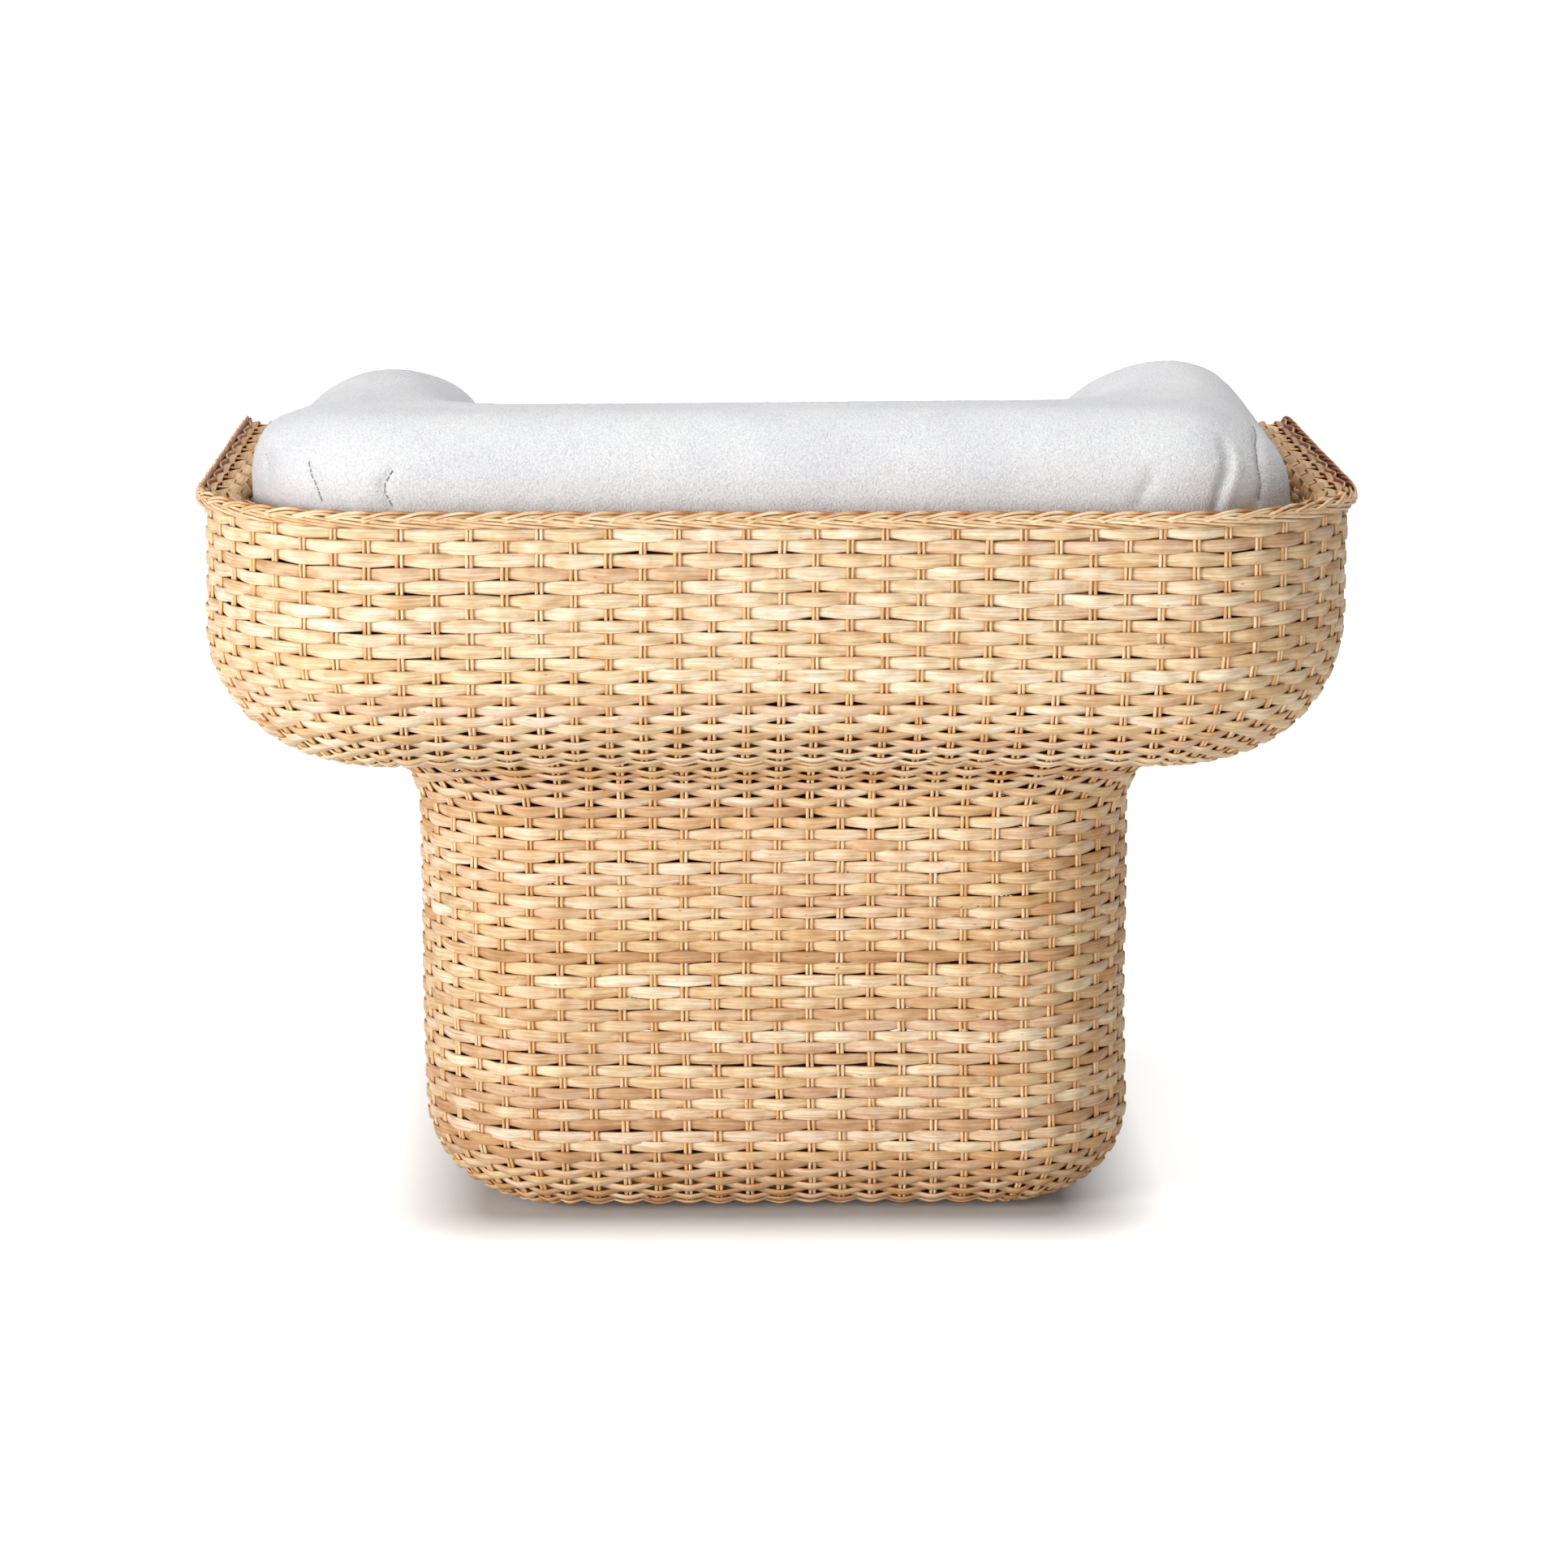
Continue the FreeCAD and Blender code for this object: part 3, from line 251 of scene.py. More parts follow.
class Strands:
    """Canes and flat strands that become one mesh, with a map laid out in bands along them."""

    def __init__(self):
        self.places, self.faces, self.grain, self.cane, self.strip = [], [], [], [], []
        self.count = 0
        self.run = 0.0

    def add(
        self, path, facing, half_width, half_thick, tone, hue, seed,
        sides=SIDES_OF_STRAND, flat=0.48, open_air=1.0,
    ):
        """A strand along the path. Widths are in mm; the tone, the hue and the painted light are a number or
        one a point, and painted light under 1 darkens the strand as painted shade.
        """
        n = len(path)
        tangent = unit(np.gradient(path, axis=0))
        across = unit(np.cross(tangent, facing))
        outward = np.cross(across, tangent)
        angle = 2 * np.pi * np.arange(sides) / sides
        c, s = np.cos(angle), np.sin(angle)
        c, s = np.sign(c) * np.abs(c) ** flat, np.sign(s) * np.abs(s) ** flat
        wide, thick, tone, hue, open_air = (
            np.broadcast_to(value, n)[:, None] for value in (half_width, half_thick, tone, hue, open_air)
        )
        ring = path[:, None] + across[:, None] * (wide * c)[..., None]
        ring = ring + outward[:, None] * (thick * s)[..., None]
        along = lengths_along(path)
        grain = np.broadcast_arrays(along[:, None], wide * c + 0.5 * s, seed)
        # Painted shade: the strand's painted light, made darker on its back and edges than on its front
        cane = np.broadcast_arrays(tone, hue, open_air * (0.67 + 0.33 * s), 1.0)
        index = self.count + np.arange(n * sides).reshape(n, sides)
        nxt = np.roll(index, -1, axis=1)
        body = np.stack([index[:-1], nxt[:-1], nxt[1:], index[1:]], -1).reshape(-1, 4)
        first, last = index[0], index[-1]
        caps = [first[e][::-1] for e in END_FACES[sides]] + [last[e] for e in END_FACES[sides]]
        self.faces += [body, np.array(caps)]
        # Per face: its start and end along the strands laid end to end, and its place round the section
        start = np.repeat(self.run + along[:-1], sides)
        end = np.repeat(self.run + along[1:], sides)
        place = np.tile(np.arange(sides) / sides, n - 1)
        self.strip.append(np.stack([start, end, place, np.full(len(start), 1 / sides)], 1))
        self.strip.append(np.tile([-1, -1, 0, 0], (len(caps), 1)))
        self.places.append(ring.reshape(-1, 3))
        self.grain.append(np.stack(grain, -1).reshape(-1, 3))
        self.cane.append(np.stack(cane, -1).reshape(-1, 4))
        self.count += n * sides
        self.run += along[-1] + 2

    def make(
        self, name, material, replaced, girth=GIRTH_OF_STRAND, slot="rattan_weave", body="chair_frame"
    ):
        faces = np.concatenate(self.faces)
        me = bpy.data.meshes.new(name)
        me.vertices.add(self.count)
        fill(me.vertices, "co", np.concatenate(self.places) * MM)
        me.loops.add(len(faces) * 4)
        fill(me.loops, "vertex_index", faces, np.int32)
        me.polygons.add(len(faces))
        fill(me.polygons, "loop_start", np.arange(0, len(faces) * 4, 4), np.int32)
        me.update(calc_edges=True)
        fill(me.polygons, "use_smooth", np.ones(len(faces)), bool)
        grain = me.attributes.new("grain", "FLOAT_VECTOR", "POINT")
        fill(grain.data, "vector", np.concatenate(self.grain) * MM)
        cane = me.attributes.new("cane", "FLOAT_COLOR", "POINT")
        fill(cane.data, "color", np.concatenate(self.cane))
        self.lay_map(me, girth)
        me.materials.append(material)
        obj = bpy.data.objects.new(name, me)
        bpy.context.scene.collection.objects.link(obj)
        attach(obj, body)
        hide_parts(*replaced)
        return obj

    def lay_map(self, me, girth):
        """The map for baking: the strands end to end, cut into bands that lie one above another."""
        strip = np.concatenate(self.strip)
        bands = max(int(math.sqrt(self.run / girth)), 1)
        reach = self.run / bands
        longest = (strip[:, 1] - strip[:, 0]).max()
        band = np.floor(strip[:, 0] / reach)
        left = (strip[:, 0] - band * reach) / (reach + longest)
        right = (strip[:, 1] - band * reach) / (reach + longest)
        low = (band + 0.04 + 0.92 * strip[:, 2]) / bands
        high = low + 0.92 * strip[:, 3] / bands
        caps = strip[:, 0] < 0
        left[caps], right[caps], low[caps], high[caps] = 0.998, 1.0, 0.0, 0.002
        uv = np.stack([left, low, left, high, right, high, right, low], 1)
        fill(me.uv_layers.new(name="OFBake").data, "uv", uv)


def wander(rng, stakes, size):
    """Small moves, one for each stake, that join smoothly between them."""
    knots = rng.normal(0, size, stakes + 3)

    def at(u):
        low = np.floor(u).astype(int)
        share = (1 - np.cos(np.pi * (u - low))) / 2
        return knots[low % (stakes + 2)] * (1 - share) + knots[(low + 1) % (stakes + 2)] * share

    return at


def tones(rng, stakes, row, mean, spread, pink):
    """Tone and hue along a row: canes of 10 to 34 stakes, and a little change from float to float."""
    cuts, values = [], []
    u = -rng.uniform(0, 20)
    while u < stakes * 2 + 2:
        cuts.append(u)
        values.append((rng.normal(mean, spread), rng.uniform(0, 1) ** (1 / pink - 1)))
        u += 2 * rng.integers(5, 18)
    cuts, values = np.array(cuts), np.array(values)
    floats = rng.normal(0, spread * 0.45, (stakes + 4, 2))

    def at(u):
        number = np.floor((u + row + 1) / 2).astype(int)
        middle = 2 * number - row
        cane = values[np.clip(np.searchsorted(cuts, middle) - 1, 0, len(cuts) - 1)]
        change = floats[number % (stakes + 4)] * (1, 0.6)
        return np.clip(cane + change, 0, 1).T

    return at


# How a row is woven: half its height between two stakes, how much fuller it is over a stake, how much
# it is drawn in behind one, half its thickness, how far it swings in and out, how deep its middle
# lies, points per stake, and how loosely it lies
BASKET_WEAVE = dict(
    half=5.38, fuller=0.48, drawn=0.4, thick=1.15, amp=1.95, depth=STAKE_DEPTH, per=8, loose=0.4
)
BASE_WEAVE = dict(BASKET_WEAVE, half=4.93, fuller=0.46, drawn=0.45, loose=0.45)
LINING_WEAVE = dict(BASKET_WEAVE, half=5.2, fuller=0.5, thick=1.2, amp=2.3, per=5, loose=0.5)


def make_wave(flat=0.1, soft=0.085):
    """Over one stake and behind the next: straight between them, rounded where it bends."""
    place = np.arange(0, 2, 0.005)
    off = np.abs(np.mod(place + 1, 2) - 1)
    sharp = 1 - 2 * np.clip((off - flat) / (1 - 2 * flat), 0, 1)
    kernel = np.exp(-0.5 * (np.minimum(place, 2 - place) / soft) ** 2)
    return place, np.fft.irfft(np.fft.rfft(sharp) * np.fft.rfft(kernel / kernel.sum()), len(place))


WAVE_PLACE, WAVE = make_wave()


def air(wave):
    """Painted light on a row: full in front of a stake, and painted shade behind one."""
    return 0.56 + 0.44 * np.clip((wave + 1) / 0.25, 0, 1)


def below_rim(y, drop):
    """The height this far from the rim's line, measured square to the line."""
    slope = (rim_height(y + 1) - rim_height(y - 1)) / 2
    return rim_height(y) - drop * np.sqrt(1 + slope**2)


def clipped(wall, height, drop):
    """The stakes between which a level row stays under the rim, at least this far from its line."""
    u = np.linspace(0, wall.stakes / 2, 3000)
    point, _ = wall.at(u, np.full(len(u), 1.0))
    y = np.arange(-500, 500, 1.0)
    far = np.hypot(point[:, 1, None] - y, height - rim_height(y)).min(1)
    under = (rim_height(point[:, 1]) > height) & (far >= drop)
    if under[0]:
        return None
    first = u[np.argmax(under)]
    return first, wall.stakes - first


def weave_rows(name, wall, rng, first, spare, pitch, uneven, look_at, material, size, rim=None):
    """The rows down a wall, a few to a piece: each in front of one stake and behind the next.

    look_at gives a row's weave, its tones (mean, spread and share of pink) and how close the next one
    lies. Rows above the rim's low front end at the rim.
    """
    pieces = []
    row = 0
    s = first
    while s < wall.profile.length - spare:
        shape, tone, closer = look_at(s)
        span = None
        if rim and s < rim["reach"]:
            span = clipped(wall, wall.top - s, rim["rows"])
        if span is None:
            start = 2 * rng.integers(0, wall.stakes // 2) + 1 + row
            span = (start, start + wall.stakes)
        if row % size == 0:
            pieces.append(Strands())
        u = np.linspace(*span, int(round((span[1] - span[0]) * shape["per"])) + 1)
        wave = np.interp(np.mod(u + row, 2), WAVE_PLACE, WAVE, period=2)
        loose = shape["loose"]
        move = wander(rng, wall.stakes, loose)(u) + wander(rng, wall.stakes, loose * 0.9)(u / 5)
        point, facing = wall.at(u, s + move)
        path = point + facing * (shape["amp"] * wave - shape["depth"])[:, None]
        half = shape["half"] + shape["fuller"] * wave - shape["drawn"] * np.minimum(wave, 0) ** 2
        half = half * (1 + wander(rng, wall.stakes, 0.04)(u)) * rng.normal(1, 0.025)
        tone, hue = tones(rng, wall.stakes, row, *tone)(u)
        # Painted shade: the rows are painted darker towards the right, the side away from the key lamp
        tone = np.clip(tone - 0.22 * rising(path[:, 0], 150, 440), 0, 1)
        pieces[-1].add(
            path, facing, half, shape["thick"] * rng.normal(1, 0.05), tone, hue, rng.uniform(0, 900),
            open_air=air(wave),
        )
        s += pitch * rng.normal(*uneven) * closer
        row += 1
    for number, strands in enumerate(pieces):
        strands.make(f"{name}_{number + 1}", material, [wall.node])


def weave_stakes(name, wall, rng, bottom, step=7.0, rim=None):
    """The stakes of a wall, of two canes each, from the rim or the wall's top down to a distance."""
    stakes = Strands()
    for u in range(wall.stakes):
        top = 0
        if rim:
            point, _ = wall.at(np.array([float(u)]), np.array([1.0]))
            top = max(wall.top - float(below_rim(point[0, 1:2], rim["stakes"])[0]), 0)
        n = max(int((bottom - top) / step), 2) + 1
        s = np.linspace(top, bottom, n)
        lean = rng.normal(0, 0.35)
        for side in (-1, 1):
            bowed = lean + side * STAKE_APART / 2 + 0.25 * np.sin(s / 37 + rng.uniform(0, 6))
            point, facing = wall.at(u + (bowed + rng.normal(0, 0.12, n)) / wall.pitch, s)
            path = point - facing * (STAKE_DEPTH + rng.normal(0, 0.1, n))[:, None]
            stakes.add(
                path, facing, STAKE_RADIUS * rng.normal(1, 0.04), STAKE_RADIUS, rng.normal(0.62, 0.16),
                rng.uniform(0, 0.5), rng.uniform(0, 900), SIDES_OF_CANE, 1.0,
            )
    stakes.make(name, stake_cane, [wall.node], GIRTH_OF_CANE)


# Materials
WHITE = (255, 255, 255)


def grey(level):
    return (level, level, level, 1)


def put(tree, node, key, value):
    """Links a socket into an input of the node, or sets the input's value."""
    if isinstance(value, bpy.types.NodeSocket):
        tree.links.new(value, node.inputs[key])
    else:
        node.inputs[key].default_value = value


def add_node(tree, kind, inputs=(), **settings):
    made = tree.nodes.new(kind)
    for key, value in settings.items():
        setattr(made, key, value)
    for key, value in dict(inputs).items():
        put(tree, made, key, value)
    return made


def new_material(name):
    mat = bpy.data.materials.new(name)
    mat.use_nodes = True
    return mat, mat.node_tree


def surface(tree, inputs):
    """Sets the inputs of a material's own shader."""
    for key, value in inputs.items():
        put(tree, tree.nodes["Principled BSDF"], key, value)


def object_place(tree):
    return add_node(tree, "ShaderNodeTexCoord").outputs["Object"]


def vectors(tree, operation, a, b=(0, 0, 0)):
    return add_node(tree, "ShaderNodeVectorMath", {0: a, 1: b}, operation=operation).outputs[0]


def numbers(tree, operation, a, b):
    return add_node(tree, "ShaderNodeMath", {0: a, 1: b}, operation=operation).outputs[0]


def noise(tree, place, scale, detail, roughness=0.5, output="Fac"):
    inputs = {"Vector": place, "Scale": scale, "Detail": detail, "Roughness": roughness}
    return add_node(tree, "ShaderNodeTexNoise", inputs).outputs[output]


def bumped(tree, height, strength, distance):
    inputs = {"Height": height, "Strength": strength, "Distance": distance}
    return add_node(tree, "ShaderNodeBump", inputs).outputs["Normal"]


def mapped(tree, value, low, high, start, end):
    """A number that goes from start to end while the value goes from low to high."""
    inputs = {"Value": value, "From Min": low, "From Max": high, "To Min": start, "To Max": end}
    return add_node(tree, "ShaderNodeMapRange", inputs).outputs[0]


def ramp(tree, factor, stops):
    """A ramp of colours. Each stop is a place and a colour in 0 to 255 levels."""
    made = add_node(tree, "ShaderNodeValToRGB", {"Fac": factor})
    points = made.color_ramp.elements
    while len(points) < len(stops):
        points.new(0.5)
    for point, (place, *levels) in zip(points, stops):
        point.position = place
        point.color = srgb(*levels)
    return made.outputs["Color"]


def mixed(tree, kind, factor, a, b):
    made = add_node(tree, "ShaderNodeMix", {0: factor, 6: a, 7: b}, data_type="RGBA", blend_type=kind)
    return made.outputs[2]


def tinted(tree, share, colour, factor, low, tint, high):
    """The colour, with a share of a tint where the factor is under low, and untouched over high."""
    return mixed(tree, "MULTIPLY", share, colour, ramp(tree, factor, [(low, *tint), (high, *WHITE)]))


# Painted shade: the warm brown painted between canes that lie close, by how much painted light a place has
SHADE = [
    (0.2, 84, 44, 18), (0.46, 156, 100, 52), (0.7, 238, 212, 180), (0.92, 254, 250, 245), (1.0, *WHITE),
]
POLE = [(0.3, 172, 122, 70), (0.55, 206, 160, 104), (0.75, 228, 190, 138)]
# How quickly the marks on a cane change: along it, round it, and from one cane to another
STREAKS = (22, 650, 4000)
PATCHES = (60, 120, 4000)
SCARS = (160, 420, 4000)
# The same for a pole, along it and across it
POLE_ALONG = 14
POLE_ACROSS = 260


def cane_material(name, yellow, pink, roughness):
    """Peeled cane: a tone from each strand, long grain, a few scars, a satin surface, and painted shade from
    each strand's painted light.
    """
    mat, tree = new_material(name)
    cane = add_node(tree, "ShaderNodeAttribute", attribute_name="cane").outputs["Color"]
    parts = add_node(tree, "ShaderNodeSeparateColor", {"Color": cane}).outputs
    grain = add_node(tree, "ShaderNodeAttribute", attribute_name="grain").outputs["Vector"]
    streaks = noise(tree, vectors(tree, "MULTIPLY", grain, STREAKS), 1, 5, 0.62)
    patches = noise(tree, vectors(tree, "MULTIPLY", grain, PATCHES), 1, 2)
    scars = noise(tree, vectors(tree, "MULTIPLY", grain, SCARS), 1, 1)
    tone = parts["Red"]
    colour = mixed(tree, "MIX", parts["Green"], ramp(tree, tone, yellow), ramp(tree, tone, pink))
    colour = tinted(tree, 1.0, colour, streaks, 0.3, (214, 196, 172), 0.62)
    colour = tinted(tree, 0.7, colour, patches, 0.35, (226, 204, 176), 0.6)
    colour = tinted(tree, 0.8, colour, scars, 0.18, (150, 102, 62), 0.25)
    # The colour is multiplied by painted shade, from the third part of the cane attribute
    surface(tree, {
        "Base Color": mixed(tree, "MULTIPLY", 1.0, colour, ramp(tree, parts["Blue"], SHADE)),
        "Roughness": mapped(tree, streaks, 0.3, 0.7, roughness + 0.12, roughness),
        "Normal": bumped(tree, streaks, 0.35, 0.0004),
        "Specular IOR Level": 0.32,
    })
    return mat


def pole_material(name, along):
    """A round rattan pole: grain along one direction, with node rings."""
    mat, tree = new_material(name)
    where = object_place(tree)
    stretch = [POLE_ACROSS] * 3
    stretch[along] = POLE_ALONG
    grain = noise(tree, vectors(tree, "MULTIPLY", where, stretch), 1, 5, 0.6)
    inputs = {"Vector": where, "Scale": 1.1, "Distortion": 1.5}
    rings = add_node(tree, "ShaderNodeTexWave", inputs, bands_direction="XYZ"[along]).outputs["Fac"]
    colour = ramp(tree, grain, POLE)
    surface(tree, {
        "Base Color": tinted(tree, 0.8, colour, rings, 0.0, (150, 108, 66), 0.06),
        "Roughness": mapped(tree, grain, 0.3, 0.7, 0.55, 0.4),
        "Normal": bumped(tree, grain, 0.4, 0.0006),
    })
    return mat


def boucle_material():
    """White boucle: curled loops close together, matt with a soft sheen."""
    mat, tree = new_material("boucle_white")
    where = object_place(tree)
    shift = vectors(tree, "MULTIPLY", noise(tree, where, 260, 2, output="Color"), (0.004, 0.004, 0.004))
    inputs = {"Vector": vectors(tree, "ADD", where, shift), "Scale": 640, "Randomness": 1.0}
    loops = add_node(tree, "ShaderNodeTexVoronoi", inputs, feature="F1").outputs["Distance"]
    fuzz = noise(tree, where, 900, 4, 0.7)
    # Painted shade: each loop's colour darkens towards its edge, where the bump dips between loops
    colour = ramp(tree, loops, [(0.15, 230, 230, 230), (0.75, 208, 208, 209)])
    fine = numbers(tree, "MULTIPLY", fuzz, 0.35)
    height = numbers(tree, "SUBTRACT", fine, numbers(tree, "POWER", loops, 2.0))
    surface(tree, {
        "Base Color": tinted(tree, 1.0, colour, noise(tree, where, 16, 3), 0.3, (244, 244, 247), 0.7),
        "Roughness": mapped(tree, fuzz, 0.3, 0.7, 0.97, 0.88),
        "Normal": bumped(tree, height, 0.6, 0.0009),
        "Sheen Weight": 0.25,
        "Sheen Roughness": 0.5,
        "Specular IOR Level": 0.15,
    })
    return mat


def plain_material(name, dark, light, scale, roughness, metallic=0.0, stretch=(1, 1, 1)):
    """Thread, moulded plastic or turned steel: two close greys with a fine texture."""
    mat, tree = new_material(name)
    mottle = noise(tree, vectors(tree, "MULTIPLY", object_place(tree), stretch), scale, 4)
    surface(tree, {
        "Base Color": ramp(tree, mottle, [(0.35, *dark), (0.65, *light)]),
        "Roughness": mapped(tree, mottle, 0.3, 0.7, roughness + 0.1, roughness),
        "Normal": bumped(tree, mottle, 0.2, 0.0003),
        "Metallic": metallic,
    })
    return mat


# The colours of the canes, from a dark strand to a light one
STRAW = [(0.0, 216, 177, 127), (0.35, 241, 217, 177), (0.7, 251, 239, 214), (1.0, 254, 247, 233)]
PINKISH = [(0.0, 204, 165, 128), (0.5, 235, 209, 183), (1.0, 248, 231, 212)]
HONEY = [(0.0, 218, 166, 106), (0.5, 242, 206, 156), (1.0, 251, 232, 200)]
PLAIT = [(0.0, 210, 166, 118), (0.5, 244, 220, 182), (1.0, 252, 240, 216)]
# A darker, greyer copy of the straw for the lining, the roll and the seat's floor: painted shade for the
# inside
INSIDE = [(0.0, 164, 126, 82), (0.5, 202, 170, 126), (1.0, 230, 208, 170)]
INSIDE_PINKISH = [(0.0, 156, 126, 92), (0.5, 192, 166, 132), (1.0, 222, 202, 174)]
weave_cane = cane_material("rattan_weave_strands", STRAW, PINKISH, 0.5)
stake_cane = cane_material("rattan_stakes", HONEY, STRAW, 0.45)
rim_cane = cane_material("rattan_plait", PLAIT, PINKISH, 0.45)
lining_cane = cane_material("rattan_lining_strands", INSIDE, INSIDE_PINKISH, 0.46)


# The basket's outside
basket_outline = Outline(half=456, back=-420, front=420, back_corner=160, front_corner=140)
basket_profile = Profile(
    [(0, RIM_HIGH), (0, 560), (0, UNDERSIDE + BASKET_ROUND + 1)]
    + bend((BASKET_ROUND, UNDERSIDE + BASKET_ROUND), BASKET_ROUND, 0, -90, 60, BASKET_FULLNESS)
    + [(BASKET_ROUND + 12, UNDERSIDE - 0.5), (BASKET_ROUND + 26, UNDERSIDE - 2)],
    1,
)
basket = Wall("basket_weave", basket_outline, basket_profile, 122, basket_uneven)
# How far under the rim's line the rows and the stakes end, and how far down the wall a row can meet it
BASKET_RIM = dict(rows=3.4, stakes=6, reach=130)


def opened(shape, share, narrower):
    """A weave shape for where the wall curves in: it swings further and leaves gaps by the stakes."""
    return dict(
        shape, half=shape["half"] * (1 - narrower), drawn=shape["drawn"] + 0.7 * share,
        amp=shape["amp"] + 0.75 * share, depth=shape["depth"] + 0.6 * share,
    )


def basket_look(s):
    curved = np.clip((s - 150) / 90, 0, 1)
    # Painted light: the rows where the wall curves under are painted a little lighter
    return opened(BASKET_WEAVE, curved, 0.03 * curved), (0.6 + 0.08 * curved, 0.15, 0.3), 1


def weave_basket():
    rng = np.random.default_rng(11)
    weave_rows(
        "basket_rows", basket, rng, 3.4, 3, BASKET_PITCH, (1, 0.03), basket_look, weave_cane, 7,
        BASKET_RIM,
    )
    weave_stakes("basket_stakes", basket, rng, basket_profile.length, rim=BASKET_RIM)


# The pedestal. Its weave starts between the basket's two skins, turns down through the neck and ends
# at the foot.
base_outline = Outline(half=292.5, back=-283, front=290, back_corner=120, front_corner=120)
BASE_ROUND = 78
base_profile = Profile(
    [(-60, 404), (-50, 396.5), (-42, 390.5)]
    + bend((-60, 332), 60, 115, 180, 28)
    + [(0, 300), (0, 200), (0, BASE_ROUND + 3)]
    + bend((BASE_ROUND, BASE_ROUND + 3), BASE_ROUND, 0, -90, 50)
    + [(BASE_ROUND + 4, 3)],
    1,
)
base = Wall("base_weave", base_outline, base_profile, 84, base_uneven)


def base_look(s):
    neck = np.clip(1 - (s - 45) / 55, 0, 1)
    foot = np.clip((s - base_profile.length + 125) / 100, 0, 1)
    shape = opened(BASE_WEAVE, max(neck, 1.4 * foot), 0.3 * foot)
    # Painted shade: the rows are painted darker towards the foot, near the floor
    return shape, (0.37 - 0.2 * foot, 0.19, 0.5), 1 - 0.06 * foot


def weave_base():
    rng = np.random.default_rng(23)
    weave_rows("base_rows", base, rng, 4.0, 7, BASE_PITCH, (1, 0.035), base_look, weave_cane, 7)
    weave_stakes("base_stakes", base, rng, base_profile.length - 3)
    # The border that closes the foot: two canes twisted round each other
    border = Strands()
    u = np.linspace(0, base.stakes, base.stakes * 10 + 1)
    for side in (0, 1):
        turn = np.pi * u + side * np.pi
        point, facing = base.at(u, base_profile.length - 3.5 + 1.9 * np.cos(turn))
        path = point + facing * (0.9 * np.sin(turn) - 3.4)[:, None]
        # Painted shade: the border's canes get a dark tone and 0.8 painted light, as shade at the foot
        border.add(path, facing, 2.3, 2.0, 0.15, 0.1, rng.uniform(0, 900), SIDES_OF_CANE, 0.9, 0.8)
    border.make("base_border", stake_cane, [base.node], 12)


# The rim: a plait of five strands outside, and rows rolled over the rim pole inside
rim = Rim(basket_outline)
PLAIT_PERIOD = 133
PLAIT_STRANDS = 5
PLAIT_LEAN = math.radians(18)
PLAIT_OUT = 3.1
PLAIT_UP = -2.0
PLAIT_CANES_APART = 2.7
PLAIT_CANE_RADIUS = 1.32
# One strand's way through the border: its share of the period, how far across it lies and how proud.
# It rises slowly over the lower half, goes behind the top edge, and comes down steeply to the ridge.
PLAIT_WAY = np.array([
    (0.0, -3.8, -1.6), (0.05, -4.4, -0.2), (0.12, -4.0, 0.9), (0.34, -1.3, 1.9), (0.42, -0.2, 1.4),
    (0.48, 0.8, -0.4), (0.55, 2.6, -1.6), (0.62, 4.1, -1.5), (0.69, 4.4, -0.2), (0.74, 4.0, 1.2),
    (0.79, 2.8, 2.0), (0.85, 0.7, 2.4), (0.885, -0.5, 1.6), (0.92, -1.9, -0.4), (0.95, -3.0, -1.5),
    (1.0, -3.8, -1.6),
])


def rounded_way(place, column):
    """A column of the strand's way at these places, with its corners rounded."""
    spread = np.linspace(-0.03, 0.03, 7)
    weight = np.exp(-0.5 * (spread / 0.015) ** 2)
    values = [np.interp(np.mod(place + d, 1), PLAIT_WAY[:, 0], PLAIT_WAY[:, column]) for d in spread]
    return np.average(values, axis=0, weights=weight)


def plait_rim():
    """Five strands of two canes in a herringbone: long shallow canes below, short steep ones above."""
    rng = np.random.default_rng(37)
    strands = Strands()
    turns = round(rim.length / PLAIT_PERIOD)
    distance = np.linspace(0, rim.length, turns * 60 + 1)
    share = turns * distance / rim.length
    for strand in range(PLAIT_STRANDS):
        place = share + strand / PLAIT_STRANDS
        place = place + wander(rng, turns * 3, 0.008)(share * 3)
        side = rounded_way(place, 1)
        depth = rounded_way(place, 2)
        # Painted shade: canes that lie deeper in the plait are painted darker
        painted_lit_share = 0.6 + 0.4 * np.clip((depth + 0.9) / 1.7, 0, 1)
        for offset in (-PLAIT_CANES_APART / 2, PLAIT_CANES_APART / 2):
            across = side + offset + wander(rng, turns * 4, 0.3)(share * 4)
            proud = depth + wander(rng, turns * 4, 0.15)(share * 4)
            out = PLAIT_OUT + proud * math.cos(PLAIT_LEAN) - across * math.sin(PLAIT_LEAN)
            up = PLAIT_UP + across * math.cos(PLAIT_LEAN) + proud * math.sin(PLAIT_LEAN)
            path, outward, _ = rim.at(distance, out, up)
            tone = rng.normal(0.6, 0.14) + wander(rng, turns * 3, 0.16)(share * 2)
            hue = rng.uniform(0, 0.4)
            radius = PLAIT_CANE_RADIUS * rng.normal(1, 0.06)
            strands.add(
                path, outward, radius, radius, np.clip(tone, 0, 1), hue, rng.uniform(0, 900),
                SIDES_OF_CANE, 1.0, painted_lit_share,
            )
    strands.make("rim_plait", rim_cane, ["rim_braid"], GIRTH_OF_CANE, "rattan_rim")


ROLL_CENTRE = np.array([-17, -16])
ROLL_RADIUS = 12.2
ROLL_SWING = 2.7
ROLL_STAKES_APART = 27
# The way of the rows' middles over the roll, from behind the plait to the lining: out, up and facing
ROLL_WAY = [(0.2, -1.9, 78), (-4.2, -3.0, 76)] + [
    (*(ROLL_CENTRE + ROLL_RADIUS * np.array([math.cos(math.radians(a)), math.sin(math.radians(a))])), a)
    for a in range(76, 201, 4)
]
ROLL_WAY = np.array(ROLL_WAY)
